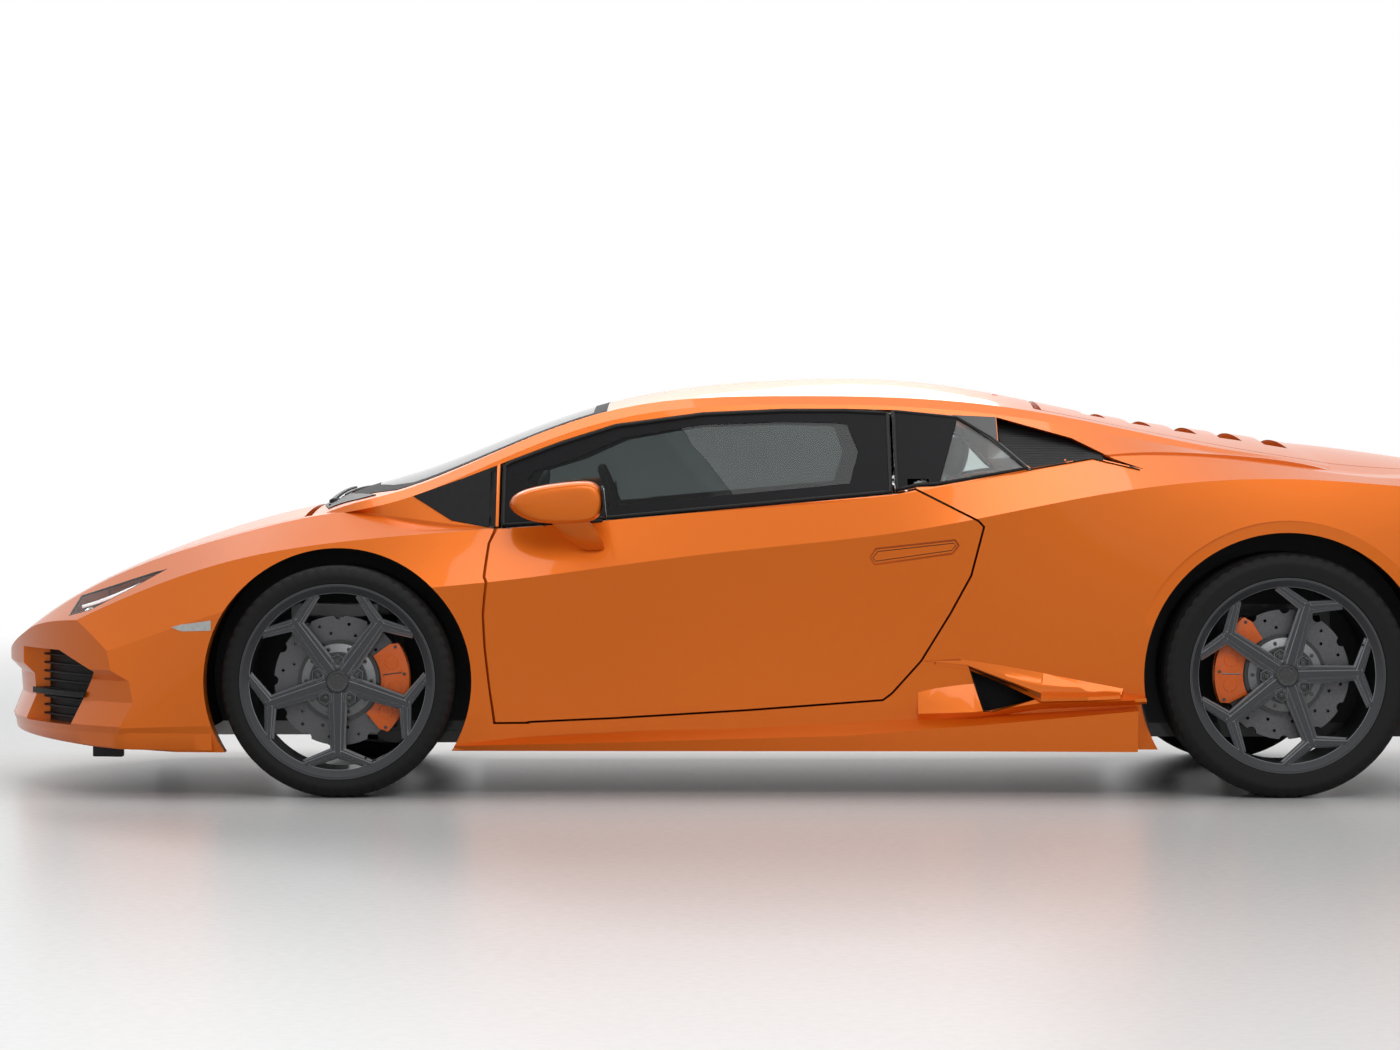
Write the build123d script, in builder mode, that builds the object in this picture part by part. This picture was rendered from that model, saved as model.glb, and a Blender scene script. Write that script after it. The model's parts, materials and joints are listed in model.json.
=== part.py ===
"""A two-seat, mid-engined sports coupe, built as its real panels, glass, wheels and running gear.

Frame: +X towards the nose, +Y towards the car's left side, +Z up, in millimetres.
The origin is on the ground, below the middle of the car's length and width.
"""

from build123d import *
from collections import namedtuple
from math import cos, hypot, radians, sin, sqrt
import os

# ---------------------------------------------------------------- driving dimensions
LENGTH = 4459
WHEELBASE = 2620
FRONT_OVERHANG = 1020
HALF_WIDTH = 962
HEIGHT = 1165

FRONT_TYRE_RADIUS = 321
REAR_TYRE_RADIUS = 338
FRONT_TYRE_WIDTH = 245
REAR_TYRE_WIDTH = 305
FRONT_WHEEL_Y = 815  # middle of the tyre, from the car's centre plane
REAR_WHEEL_Y = 796
FRONT_ARCH_RADIUS = 368
REAR_ARCH_RADIUS = 394
WELL_EXTRA = 14  # the well behind an arch lip is this much larger in radius
FRONT_WELL_DEPTH_Y = 528  # inner wall of a front wheel well
REAR_WELL_DEPTH_Y = 622
FRONT_LIP_Y = 852  # inner edge of the narrower lip round an arch
REAR_LIP_Y = 905
REAR_LIP_BAND = 33  # width of the flat lip round a rear arch
REAR_BAND_Y = 930

DOOR_THICKNESS = 105
ROOF_THICKNESS = 32
GLASS_THICKNESS = 5
GAP = 6  # between a moving panel and its neighbours
SEAT_DROP = 8  # from a lid's underside down to the ledge that it closes on
FLOOR_Z = 128
FLOOR_THICKNESS = 34

FRONT_AXLE_X = LENGTH / 2 - FRONT_OVERHANG
REAR_AXLE_X = FRONT_AXLE_X - WHEELBASE
NOSE_X = LENGTH / 2
TAIL_X = -LENGTH / 2

# The body's lines were drawn on a grid of these sizes, and follow the driving dimensions.
DRAWN_FRONT_AXLE_X = 1209.5
DRAWN_REAR_AXLE_X = -1410.5
DRAWN_NOSE_X = 2229.5
DRAWN_HALF_WIDTH = 962
DRAWN_HEIGHT = 1165


def along(x):
    """A drawn x, moved with the axles, the nose and the tail."""
    knots = [
        (-DRAWN_NOSE_X, TAIL_X),
        (DRAWN_REAR_AXLE_X, REAR_AXLE_X),
        (DRAWN_FRONT_AXLE_X, FRONT_AXLE_X),
        (DRAWN_NOSE_X, NOSE_X),
    ]
    low = 0 if x < DRAWN_REAR_AXLE_X else 1 if x < DRAWN_FRONT_AXLE_X else 2
    (a, to_a), (b, to_b) = knots[low], knots[low + 1]
    return to_a + (x - a) * (to_b - to_a) / (b - a)


def across(y):
    return y * HALF_WIDTH / DRAWN_HALF_WIDTH


def up(z):
    return z * HEIGHT / DRAWN_HEIGHT


def side_points(points):
    return [(along(x), up(z)) for x, z in points]


# ---------------------------------------------------------------- the body's surface
# Half sections of the lower body, nose to tail. From the bottom edge the side runs out to
# the low line, bulges to the waist line, and folds in over the shoulder to the deck edge.
Lower = namedtuple(
    "Lower",
    "x bottom_y bottom_z low_y low_z bulge waist_y waist_z shoulder_y shoulder_z "
    "deck_y deck_z crown_z",
)
LOWER_BODY = [
    Lower(2240, 900, 150, 935, 190, 5, 940, 300, 880, 330, 560, 342, 350),
    Lower(2060, 900, 140, 935, 190, 5, 930, 360, 800, 430, 560, 490, 516),
    Lower(1900, 880, 130, 930, 190, 5, 905, 390, 800, 508, 600, 585, 603),
    Lower(1500, 915, 125, 940, 200, 5, 945, 520, 860, 655, 680, 725, 755),
    Lower(1210, 915, 125, 945, 200, 5, 952, 560, 880, 705, 700, 785, 812),
    Lower(750, 850, 130, 858, 230, -6, 905, 600, 856, 744, 740, 770, 790),
    Lower(200, 850, 130, 860, 240, -8, 905, 672, 852, 788, 740, 800, 810),
    Lower(-400, 850, 130, 865, 250, -5, 922, 742, 840, 846, 740, 855, 865),
    Lower(-900, 860, 130, 895, 260, 15, 925, 838, 765, 938, 640, 945, 950),
    Lower(-1410, 880, 130, 930, 280, 25, 915, 880, 800, 915, 660, 925, 985),
    Lower(-1850, 860, 140, 915, 300, 20, 890, 850, 790, 885, 650, 895, 936),
    Lower(-2240, 820, 200, 860, 330, 10, 850, 800, 770, 850, 650, 865, 885),
]
# Half sections of the cabin, cowl to tail: the belt, the top edge of the side glass,
# the outer edge of the windscreen or roof skin, and the crown on the centre line.
Cabin = namedtuple("Cabin", "x belt_y belt_z glass_y glass_z rail_y rail_z crown_z")
CABIN = [
    Cabin(1280, 640, 768, 636, 771, 630, 774, 803),
    Cabin(1038, 775, 772, 748, 822, 712, 848, 893),
    Cabin(740, 845, 745, 690, 945, 650, 972, 1007),
    Cabin(445, 845, 766, 620, 1046, 580, 1074, 1104),
    Cabin(-27, 845, 810, 575, 1088, 530, 1112, 1163),
    Cabin(-400, 835, 845, 565, 1080, 520, 1105, 1160),
    Cabin(-676, 800, 902, 580, 1053, 535, 1078, 1119),
    Cabin(-971, 745, 950, 640, 1000, 600, 1022, 1060),
    Cabin(-1266, 720, 945, 665, 950, 640, 962, 1016),
    Cabin(-1562, 700, 900, 680, 905, 655, 912, 966),
]
CABIN_FOOT_Z = 690


def loft_lower_body(inset=0, drop=0, foot_z=None):
    """The body below the belt. inset narrows it, drop lowers its top, foot_z sets its bottom."""
    with BuildPart() as lower_body:
        for row in LOWER_BODY:
            bottom_z = up(row.bottom_z) if foot_z is None else foot_z
            bottom = (across(row.bottom_y) - inset, bottom_z)
            low = (across(row.low_y) - inset, up(row.low_z))
            waist = (across(row.waist_y) - inset, up(row.waist_z) - drop / 2)
            bulge = (
                (low[0] + waist[0]) / 2 + row.bulge,
                (low[1] + waist[1]) / 2,
            )
            shoulder = (across(row.shoulder_y) - inset, up(row.shoulder_z) - drop)
            deck = (across(row.deck_y) - inset / 2, up(row.deck_z) - drop)
            with BuildSketch(Plane.YZ.offset(along(row.x))):
                with BuildLine():
                    Line((-bottom[0], bottom[1]), bottom)
                    for side in (1, -1):
                        b, l, m, w, s, d = (
                            (side * y, z) for y, z in (bottom, low, bulge, waist, shoulder, deck)
                        )
                        Line(b, l)
                        ThreePointArc(l, m, w)
                        Line(w, s)
                        Line(s, d)
                    ThreePointArc(deck, (0, up(row.crown_z) - drop), (-deck[0], deck[1]))
                make_face()
        loft()
    return lower_body.part


def loft_cabin(foot_inset=0, inset=0, drop=0):
    """The cabin above the belt, from cowl to tail, drawn down into the lower body."""
    with BuildPart() as cabin:
        for row in CABIN:
            foot = (across(row.belt_y) - foot_inset, up(CABIN_FOOT_Z))
            glass = (across(row.glass_y) - inset, up(row.glass_z) - drop)
            belt = (across(row.belt_y) - foot_inset, min(up(row.belt_z), glass[1] - 4))
            rail = (across(row.rail_y) - inset, up(row.rail_z) - drop)
            with BuildSketch(Plane.YZ.offset(along(row.x))):
                with BuildLine():
                    Line((-foot[0], foot[1]), foot)
                    for side in (1, -1):
                        f, b, g, r = ((side * y, z) for y, z in (foot, belt, glass, rail))
                        Line(f, b)
                        Line(b, g)
                        Line(g, r)
                    ThreePointArc(rail, (0, up(row.crown_z) - drop), (-rail[0], rail[1]))
                make_face()
        loft()
    return cabin.part


# ---------------------------------------------------------------- nose and tail
# Both ends are turned about an upright axis, so their edges follow one arc in plan.
NOSE_PLAN_RADIUS = 1261
TAIL_PLAN_RADIUS = 2369
NOSE_PROFILE = [  # drawn x and z, from under the lip to above the beak
    (1990, 90),
    (2120, 132),
    (2212, 166),
    (2222, 196),
    (2196, 262),
    (2200, 322),
    (2229.5, 352),
    (2229.5, 420),
]
TAIL_PROFILE = [  # drawn x and z, from under the diffuser to above the spoiler edge
    (-1990, 90),
    (-2120, 210),
    (-2190, 300),
    (-2205, 470),
    (-2180, 560),
    (-2178, 780),
    (-2229.5, 868),
    (-2229.5, 960),
]


def turned_end(profile, end_x, plan_radius, sign, trim=0):
    """Everything inside the end's turned face, and all of the car away from that end."""
    axis_x = end_x - sign * plan_radius
    with BuildPart() as end_form:
        with BuildSketch(Plane.XZ):
            with BuildLine():
                points = [(along(x) - sign * trim, up(z)) for x, z in profile]
                top = (points[-1][0], 2 * HEIGHT)
                Polyline([(axis_x, points[0][1])] + points + [top, (axis_x, top[1])], close=True)
            make_face()
        revolve(axis=Axis((axis_x, 0, 0), (0, 0, 1)))
        far = LENGTH
        with Locations((end_x - sign * (plan_radius * 0.45 + far / 2), 0, 0)):
            Box(far, 4 * HALF_WIDTH, 6 * HEIGHT)
    return end_form.part



# ---------------------------------------------------------------- regions of the panels
FAR_Y = HALF_WIDTH + 300


def side_prism(points, y_from=0, y_to=FAR_Y, grow=0):
    """A side-view outline carried through both sides of the car between two distances."""
    with BuildPart() as prism:
        with BuildSketch(Plane.XZ):
            with BuildLine():
                Polyline(side_points(points), close=True)
            make_face()
            if grow:
                offset(amount=grow, kind=Kind.INTERSECTION)
        extrude(amount=y_to, both=True)
        if y_from > 0:
            Box(4 * LENGTH, 2 * y_from, 6 * HEIGHT, mode=Mode.SUBTRACT)
    return prism.part


def plan_prism(points, z_from, z_to, grow=0):
    """A half plan outline (x, y), mirrored over the centre plane, between two heights."""
    half = [(along(x), across(y)) for x, y in points]
    with BuildPart() as prism:
        with BuildSketch(Plane.XY.offset(up(z_from))):
            with BuildLine():
                Polyline(half + [(x, -y) for x, y in reversed(half) if y], close=True)
            make_face()
            if grow:
                offset(amount=grow, kind=Kind.INTERSECTION)
        extrude(amount=up(z_to) - up(z_from))
    return prism.part


def both_sides_box(x_from, x_to, y_from, y_to, z_from, z_to):
    with BuildPart() as pair:
        for side in (1, -1):
            with Locations(
                ((x_from + x_to) / 2, side * (y_from + y_to) / 2, (z_from + z_to) / 2)
            ):
                Box(x_to - x_from, y_to - y_from, z_to - z_from)
    return pair.part


def middle_box(x_from, x_to, half_y, z_from, z_to):
    with BuildPart() as block:
        with Locations(((x_from + x_to) / 2, 0, (z_from + z_to) / 2)):
            Box(x_to - x_from, 2 * half_y, z_to - z_from)
    return block.part


BELT = [(-389, 848), (-343, 838), (483, 763), (639, 750), (767, 742)]
DOOR_REAR_AND_FOOT = [
    (773, 206), (446, 219), (77, 242), (-297, 270), (-321, 288), (-401, 378),
    (-481, 510), (-537, 614), (-571, 747), (-557, 762),
]
DOOR_FRONT = [  # drawn z, x and y of the front edge on the body's skin
    (206, 775, 859.7), (301, 789, 869.6), (413, 801, 883.2), (505, 805, 895.9),
    (610, 801, 904.2), (702, 789, 871.8), (742, 768, 857.3),
]
HINGE_X = along(735)
HINGE_Y = across(830)
WINDOW_TOP = [
    (1010, 830), (880, 877), (740, 931), (600, 984), (445, 1033), (200, 1066), (-27, 1076),
    (-200, 1076), (-350, 1072), (-523, 1055), (-615, 996), (-712, 907),
]
SCREEN_PLAN = [  # half the windscreen, seen from above
    (1228, 0), (1205, 350), (1150, 560), (1060, 672), (740, 638), (470, 573), (470, 0),
]
ROOF_JOINT_X = -622
B_POST_X = -326
DOOR_GLASS_FRONT_X = 762


def hinge_turned(grow):
    """The door's leading edge, turned about its hinge axes on both sides."""
    with BuildPart() as turned:
        with BuildSketch(Plane.XZ):
            with BuildLine():
                edge = [
                    (hypot(along(x) - HINGE_X, across(y) - HINGE_Y) + grow, up(z))
                    for z, x, y in DOOR_FRONT
                ]
                edge[0] = (edge[0][0], edge[0][1] - grow)
                edge[-1] = (edge[-1][0], edge[-1][1] + grow)
                Polyline([(0, edge[0][1])] + edge + [(0, edge[-1][1])], close=True)
            make_face()
        revolve(axis=Axis.Z)
    with BuildPart() as pair:
        for side in (1, -1):
            with Locations((HINGE_X, side * HINGE_Y, 0)):
                add(turned.part)
    return pair.part


def door_region(grow=0):
    outline = [(735, 206)] + DOOR_REAR_AND_FOOT[1:] + BELT[:-1] + [(735, 744)]
    with BuildPart() as region:
        add(side_prism(outline, y_from=500, grow=grow))
        add(hinge_turned(grow))
    return region.part


def outline_above(line, height=1400):
    return line + [(line[-1][0], height), (line[0][0], height)]


window_line = [p for p in WINDOW_TOP if p[0] >= ROOF_JOINT_X] + [(ROOF_JOINT_X, 991)]
ROOF_SIDE = outline_above(window_line)
DOOR_GLASS_SIDE = (
    [(DOOR_GLASS_FRONT_X, 743), (639, 750), (483, 763), (B_POST_X, 836.5), (B_POST_X, 1066)]
    + [(x, z - GAP) for x, z in reversed(WINDOW_TOP) if B_POST_X < x < DOOR_GLASS_FRONT_X]
    + [(DOOR_GLASS_FRONT_X, 916)]
)
QUARTER_GLASS_SIDE = [
    (B_POST_X - 6, 1072.4), (-350, 1072), (-523, 1055), (-615, 996), (-712, 907), (-450, 859),
    (-395, 856), (B_POST_X - 6, 842),
]
FRONT_TRIANGLE_SIDE = [(776, 740), (776, 917), (880, 877), (1010, 830), (900, 764)]
BUMPER_SIDE = [
    (1300, 0), (1300, 450), (1373, 650), (1417, 662), (1556, 659), (1640, 648), (1696, 628),
    (1786, 578), (1911, 513), (1944, 504), (1944, 760), (2400, 760), (2400, 0),
]
HEADLAMP_SIDE = [
    (1976, 495), (1911, 513), (1786, 578), (1696, 628), (1737, 618), (1861, 578), (1956, 548),
]
SILL_SIDE = [
    (900, 100), (900, 200), (773, 200), (446, 213), (77, 236), (-300, 264), (-326, 284),
    (-407, 374), (-549, 387), (-727, 362), (-985, 299), (-1100, 292), (-1100, 100),
]
REAR_BUMPER_SIDE = [(-1700, 0), (-1700, 300), (-1872, 460), (-1885, 800), (-2400, 800), (-2400, 0)]
LID_PLAN = [(1932, 0), (1922, 300), (1880, 545), (1500, 640), (1322, 652)]
LID_UNDERSIDE = [(1124, 752), (1300, 742), (1500, 690), (1700, 622), (1900, 535), (2090, 420)]
HINGE_EDGE_GAP = 16
COVER_PLAN = [(-764, 480), (-1000, 545), (-1300, 585), (-1600, 585), (-1935, 560)]
COVER_UNDERSIDE = [
    (-740, 1040), (-971, 990), (-1266, 945), (-1562, 900), (-1935, 860), (-2000, 840),
]

lower_body = loft_lower_body()
cabin = loft_cabin()
with BuildPart() as body_form:
    add(lower_body)
    add(cabin)
body = body_form.part
glass_void = loft_cabin(GLASS_THICKNESS, GLASS_THICKNESS, GLASS_THICKNESS)

# The hollows behind the panels: a half plan outline, and the side outline that limits it.
HOLLOWS = {
    "luggage": (
        [(2090, 0), (2080, 300), (2010, 500), (1124, 600)],
        [(1124, 30)] + LID_UNDERSIDE + [(2090, 30)],
    ),
    "wheels": (
        [(2090, 0), (2080, 250), (2030, 450), (1930, 650), (1850, 750), (1600, 815), (1000, 815),
         (860, 750), (-560, 750), (-700, 790), (-1400, 835), (-1850, 800), (-2060, 700),
         (-2090, 300), (-2095, 0)],
        [(760, 30), (760, 700), (1124, 640), (1500, 560), (1900, 420), (2060, 370), (2095, 330),
         (2095, 30)],
    ),
    "cabin": (
        [(1160, 560), (860, 735), (-560, 735)],
        [(1160, 30), (1160, 770), (900, 740), (-100, 770), (-560, 800), (-560, 30)],
    ),
    "engine": (
        [(-559, 735), (-700, 760), (-1400, 835), (-1850, 800), (-2060, 700), (-2090, 300),
         (-2095, 0)],
        [(-559, 30), (-559, 740), (-900, 850), (-1410, 835), (-1850, 800), (-2060, 760),
         (-2095, 600), (-2095, 30)],
    ),
    "under_cover": (
        [(-740, 500), (-1000, 545), (-1300, 575), (-2000, 555)],
        [(-740, 30)] + COVER_UNDERSIDE + [(-2000, 30)],
    ),
}
with BuildPart() as head_room:
    for row in CABIN[1:7]:
        half = [
            (across(row.belt_y) - DOOR_THICKNESS, up(600)),
            (across(row.belt_y) - DOOR_THICKNESS, min(up(row.belt_z), up(row.glass_z) - 36)),
            (across(row.glass_y) - 38, up(row.glass_z) - ROOF_THICKNESS),
            (across(row.rail_y) / 2, up(0.28 * row.rail_z + 0.72 * row.crown_z) - ROOF_THICKNESS),
        ]
        crown = (0, up(row.crown_z) - ROOF_THICKNESS)
        with BuildSketch(Plane.YZ.offset(along(row.x))):
            with BuildLine():
                Polyline([(-y, z) for y, z in half] + [crown] + half[::-1], close=True)
            make_face()
    loft(ruled=True)
with BuildPart() as void_form:
    for plan, side in HOLLOWS.values():
        with BuildPart(mode=Mode.PRIVATE) as hollow_piece:
            add(plan_prism(plan, 30, 1400))
            add(side_prism(side), mode=Mode.INTERSECT)
        add(hollow_piece.part)
    add(head_room.part)
void = void_form.part

nose_form = turned_end(NOSE_PROFILE, NOSE_X, NOSE_PLAN_RADIUS, 1)
tail_form = turned_end(TAIL_PROFILE, TAIL_X, TAIL_PLAN_RADIUS, -1)

Well = namedtuple("Well", "x z arch depth lip band")
WELLS = [
    Well(FRONT_AXLE_X, FRONT_TYRE_RADIUS, FRONT_ARCH_RADIUS, FRONT_WELL_DEPTH_Y, FRONT_LIP_Y, 0),
    Well(REAR_AXLE_X, REAR_TYRE_RADIUS, REAR_ARCH_RADIUS, REAR_WELL_DEPTH_Y, REAR_LIP_Y,
         REAR_LIP_BAND),
]


def axle_cylinders(well, radius, y_from, y_to, mode=Mode.ADD):
    """One cylinder about a wheel's axle on each side of the car."""
    for side in (1, -1):
        with Locations((well.x, side * (y_from + y_to) / 2, well.z)):
            Cylinder(radius, y_to - y_from, rotation=(90, 0, 0), mode=mode)


with BuildPart() as wells_form:
    for well in WELLS:
        axle_cylinders(well, well.arch, well.depth, FAR_Y)
        axle_cylinders(well, well.arch + WELL_EXTRA, well.depth, well.lip)
        axle_cylinders(well, well.arch + well.band, REAR_BAND_Y, FAR_Y)
wells = wells_form.part

LINER_THICKNESS = 4
LINER_GAP = 0.3
LINER_FOOT_Z = 190
with BuildPart() as wheel_liners:
    for well in WELLS:
        radius = well.arch + WELL_EXTRA - LINER_GAP
        axle_cylinders(well, radius, well.depth - LINER_THICKNESS - 1, well.lip - 1)
        axle_cylinders(well, radius - LINER_THICKNESS, well.depth - 1, FAR_Y, Mode.SUBTRACT)
        arm_window = both_sides_box(well.x - 160, well.x + 160, 400, well.depth, 0, 525)
        add(arm_window, mode=Mode.SUBTRACT)
    add(middle_box(-LENGTH, LENGTH, FAR_Y, -100, LINER_FOOT_Z), mode=Mode.SUBTRACT)


def panel(region, taken=(), hollow=None, cut_wells=True, ends=()):
    """One panel of the body: the form within a region, hollowed behind, less its neighbours."""
    with BuildPart() as piece:
        add(body)
        add(region, mode=Mode.INTERSECT)
        for end in ends:
            add(end, mode=Mode.INTERSECT)
        cuts = [void if hollow is None else hollow] + list(taken) + ([wells] if cut_wells else [])
        add(cuts, mode=Mode.SUBTRACT)
    return piece.part


# ---------------------------------------------------------------- body panels
door_clear = door_region(GAP)


def lid_form(plan, underside, drop=0, grow=0):
    """A plan outline, above the line of a lid's underside lowered by drop."""
    with BuildPart() as form:
        add(plan_prism(plan, 300, 1400, grow=grow))
        line = [(x, z - drop) for x, z in underside]
        (first_x, first_z), (last_x, last_z) = line[0], line[-1]
        margin = 300 if first_x > last_x else -300
        below = [(first_x + margin, 0), (first_x + margin, first_z)] + line
        below += [(last_x - margin, last_z), (last_x - margin, 0)]
        add(side_prism(below), mode=Mode.SUBTRACT)
    return form.part


lid_region = lid_form(LID_PLAN, LID_UNDERSIDE)
cover_region = lid_form(COVER_PLAN, COVER_UNDERSIDE)
# A lid swings back a little past its hinged edge, so the opening is longer there.
lid_opening = LID_PLAN[:-1] + [(LID_PLAN[-1][0] - HINGE_EDGE_GAP, LID_PLAN[-1][1])]
cover_opening = [(COVER_PLAN[0][0] + HINGE_EDGE_GAP, COVER_PLAN[0][1])] + COVER_PLAN[1:]
lid_clear = lid_form(lid_opening, LID_UNDERSIDE, SEAT_DROP, GAP)
cover_clear = lid_form(cover_opening, COVER_UNDERSIDE, SEAT_DROP, GAP)
screen_region = plan_prism(SCREEN_PLAN, 700, 1400)
door_glass_region = side_prism(DOOR_GLASS_SIDE)
door_glass_clear = side_prism(DOOR_GLASS_SIDE, grow=GAP)
quarter_glass_region = side_prism(QUARTER_GLASS_SIDE)
triangle_region = side_prism(FRONT_TRIANGLE_SIDE)
headlamp_region = side_prism(HEADLAMP_SIDE, y_from=545)
sill_region = side_prism(SILL_SIDE, y_from=560)
bumper_region = side_prism(BUMPER_SIDE)
rear_bumper_region = side_prism(REAR_BUMPER_SIDE)
diffuser_region = middle_box(along(-2300), along(-1960), across(640), 40, up(300))
plate_recess = middle_box(along(-2400), along(-2178), across(262), up(428), up(546))
roof_side_region = side_prism(ROOF_SIDE)

INTAKE_SIDE = [(2300, 400), (2004, 400), (1890, 345), (1968, 192), (2300, 192)]
INTAKE_Y = (across(470), across(858))
INTAKE_BAR_Z = (268, 284)
intakes = side_prism(INTAKE_SIDE, *INTAKE_Y)


def plan_band(end_x, plan_radius, depth_from, depth_to, z_from, z_to, mode=Mode.ADD):
    """An upright band that follows the nose's or the tail's arc, between two depths behind it."""
    axis_x = end_x - plan_radius if end_x > 0 else end_x + plan_radius
    with Locations((axis_x, 0, (z_from + z_to) / 2)):
        with BuildPart(mode=Mode.PRIVATE) as band:
            Cylinder(plan_radius - depth_from, z_to - z_from)
            Cylinder(plan_radius - depth_to, z_to - z_from, mode=Mode.SUBTRACT)
        add(band.part, mode=mode)


MESH_DEPTH = (70, 84)  # the front meshes, behind the nose's arc
SLAT_DEPTH = (54, 70)
SLAT_HEIGHT = 5
SLAT_PITCH = 24
with BuildPart() as front_grilles:
    plan_band(NOSE_X, NOSE_PLAN_RADIUS, *MESH_DEPTH, up(188), up(404))
    for index in range(8):
        z = up(208) + index * SLAT_PITCH
        plan_band(NOSE_X, NOSE_PLAN_RADIUS, *SLAT_DEPTH, z, z + SLAT_HEIGHT)
    plan_band(NOSE_X, NOSE_PLAN_RADIUS, 24, SLAT_DEPTH[1], *(up(z) for z in INTAKE_BAR_Z))
    add(intakes, mode=Mode.INTERSECT)
    add(void, mode=Mode.SUBTRACT)

TAIL_OPENING_Z = (585, 770)
TAIL_OPENING_Y = across(840)
TAIL_MESH_DEPTH = (100, 114)
TAIL_SLAT_DEPTH = (86, 100)
TAIL_LAMP_DEPTH = (56, 86)
TAIL_LAMP_FACE = [  # y and z of the left lamp, seen from behind
    (500, 722), (700, 722), (836, 706), (836, 622), (818, 622), (816, 690), (695, 703), (500, 703),
]
tail_opening = middle_box(
    along(-2400), along(-1700), TAIL_OPENING_Y, *(up(z) for z in TAIL_OPENING_Z)
)
tail_lamp_prisms = []
for side in (1, -1):
    with BuildPart() as lamp_prism:
        with BuildSketch(Plane.YZ.offset(along(-2300))):
            with BuildLine():
                Polyline([(side * across(y), up(z)) for y, z in TAIL_LAMP_FACE], close=True)
            make_face()
        extrude(amount=along(-1700) - along(-2300))
    tail_lamp_prisms.append(lamp_prism.part)
with BuildPart() as rear_mesh:
    z_low, z_high = (up(z) for z in TAIL_OPENING_Z)
    plan_band(TAIL_X, TAIL_PLAN_RADIUS, *TAIL_MESH_DEPTH, z_low, z_high)
    for index in range(7):
        z = z_low + 16 + index * SLAT_PITCH
        plan_band(TAIL_X, TAIL_PLAN_RADIUS, *TAIL_SLAT_DEPTH, z, z + SLAT_HEIGHT)
    add(tail_opening, mode=Mode.INTERSECT)
with BuildPart() as tail_lamps:
    plan_band(TAIL_X, TAIL_PLAN_RADIUS, *TAIL_LAMP_DEPTH, up(600), up(740))
    with BuildPart(mode=Mode.PRIVATE) as lamp_faces:
        for prism in tail_lamp_prisms:
            add(prism)
    add(lamp_faces.part, mode=Mode.INTERSECT)
with BuildPart() as tail_cut:
    plan_band(TAIL_X, TAIL_PLAN_RADIUS, -60, TAIL_MESH_DEPTH[1], *(up(z) for z in TAIL_OPENING_Z))
    add(tail_opening, mode=Mode.INTERSECT)

DOOR_LUGS_Z = [(350, 380), (600, 630)]  # drawn heights of the two hinge lugs of a door
DOOR_ARM_WIDTH = 40
with BuildPart() as arm_channels:
    for low, high in DOOR_LUGS_Z:
        half = DOOR_ARM_WIDTH / 2 + GAP
        add(both_sides_box(
            HINGE_X - half, HINGE_X + half, 640, HINGE_Y, up(low) - GAP, up(high) + GAP
        ))

# The dark slot that runs back from each quarter window.
RECESS_SIDE = [
    (-628, 1052), (-835, 993), (-947, 934), (-1029, 905), (-885, 940), (-712, 909), (-628, 984),
]
RECESS_DEPTH = 22
with BuildPart() as recess:
    add(side_prism(RECESS_SIDE))
    add(loft_cabin(RECESS_DEPTH, RECESS_DEPTH, RECESS_DEPTH), mode=Mode.SUBTRACT)

# name: (whole region, pieces taken out of it, ends it reaches)
fixed_region = {
    "front_bumper": (bumper_region, (lid_clear, headlamp_region, intakes), (nose_form,)),
    "front_wings": (
        side_prism([(700, 100), (700, 1100), (2000, 1100), (2000, 100)]),
        (bumper_region, lid_clear, headlamp_region, sill_region, door_clear, screen_region,
         roof_side_region, triangle_region, door_glass_clear, arm_channels.part),
        (),
    ),
    "roof": (roof_side_region, (screen_region, cover_clear, door_glass_clear), ()),
    "rear_quarters": (
        side_prism([(-300, 150), (-300, 1300), (-2400, 1300), (-2400, 150)]),
        (door_clear, door_glass_clear, quarter_glass_region, roof_side_region, cover_clear,
         sill_region, rear_bumper_region, recess.part),
        (tail_form,),
    ),
    "rear_bumper": (
        rear_bumper_region,
        (diffuser_region, tail_cut.part, plate_recess, sill_region),
        (tail_form,),
    ),
    "headlamps": (headlamp_region, (lid_clear,), (nose_form,)),
}
panels = {}
for name, (whole, taken, ends) in fixed_region.items():
    panels[name] = panel(whole, taken, ends=ends)
panels["windscreen"] = panel(screen_region, (), glass_void, False)

# The sill's blade: a skirt along the foot, and a fin that rises in front of the rear wheel.
Blade = namedtuple("Blade", "x top_z crest_y crest_z foot_z")
SKIRT = [
    Blade(900, 152, 874, 140, 127), Blade(476, 174, 886, 150, 127), Blade(-205, 211, 892, 170, 127),
    Blade(-575, 237, 900, 200, 127), Blade(-1000, 262, 930, 240, 127),
]
FIN = [
    Blade(-395, 376, 880, 230, 200), Blade(-549, 386, 905, 236, 206),
    Blade(-729, 361, 930, 262, 232), Blade(-1030, 290, 948, 272, 242),
]
BLADE_ROOT_Y = 850
POCKET_SIDE = [(-533, 363), (-573, 237), (-598, 234), (-724, 274), (-708, 292)]
POCKET_Y = 838


def blade_form(rows, foot_tuck):
    """A ruled blade on both sides; foot_tuck brings its foot in from the crest."""
    with BuildPart() as pair:
        for side in (1, -1):
            with BuildPart(mode=Mode.PRIVATE) as blade:
                for row in rows:
                    foot_y = BLADE_ROOT_Y if foot_tuck is None else row.crest_y - foot_tuck
                    points = [
                        (BLADE_ROOT_Y - 15, row.foot_z), (BLADE_ROOT_Y, row.top_z),
                        (row.crest_y, row.crest_z), (foot_y, row.foot_z - 1),
                    ]
                    with BuildSketch(Plane.YZ.offset(along(row.x))):
                        with BuildLine():
                            Polyline([(side * across(y), up(z)) for y, z in points], close=True)
                        make_face()
                loft(ruled=True)
            add(blade.part)
    return pair.part


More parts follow.
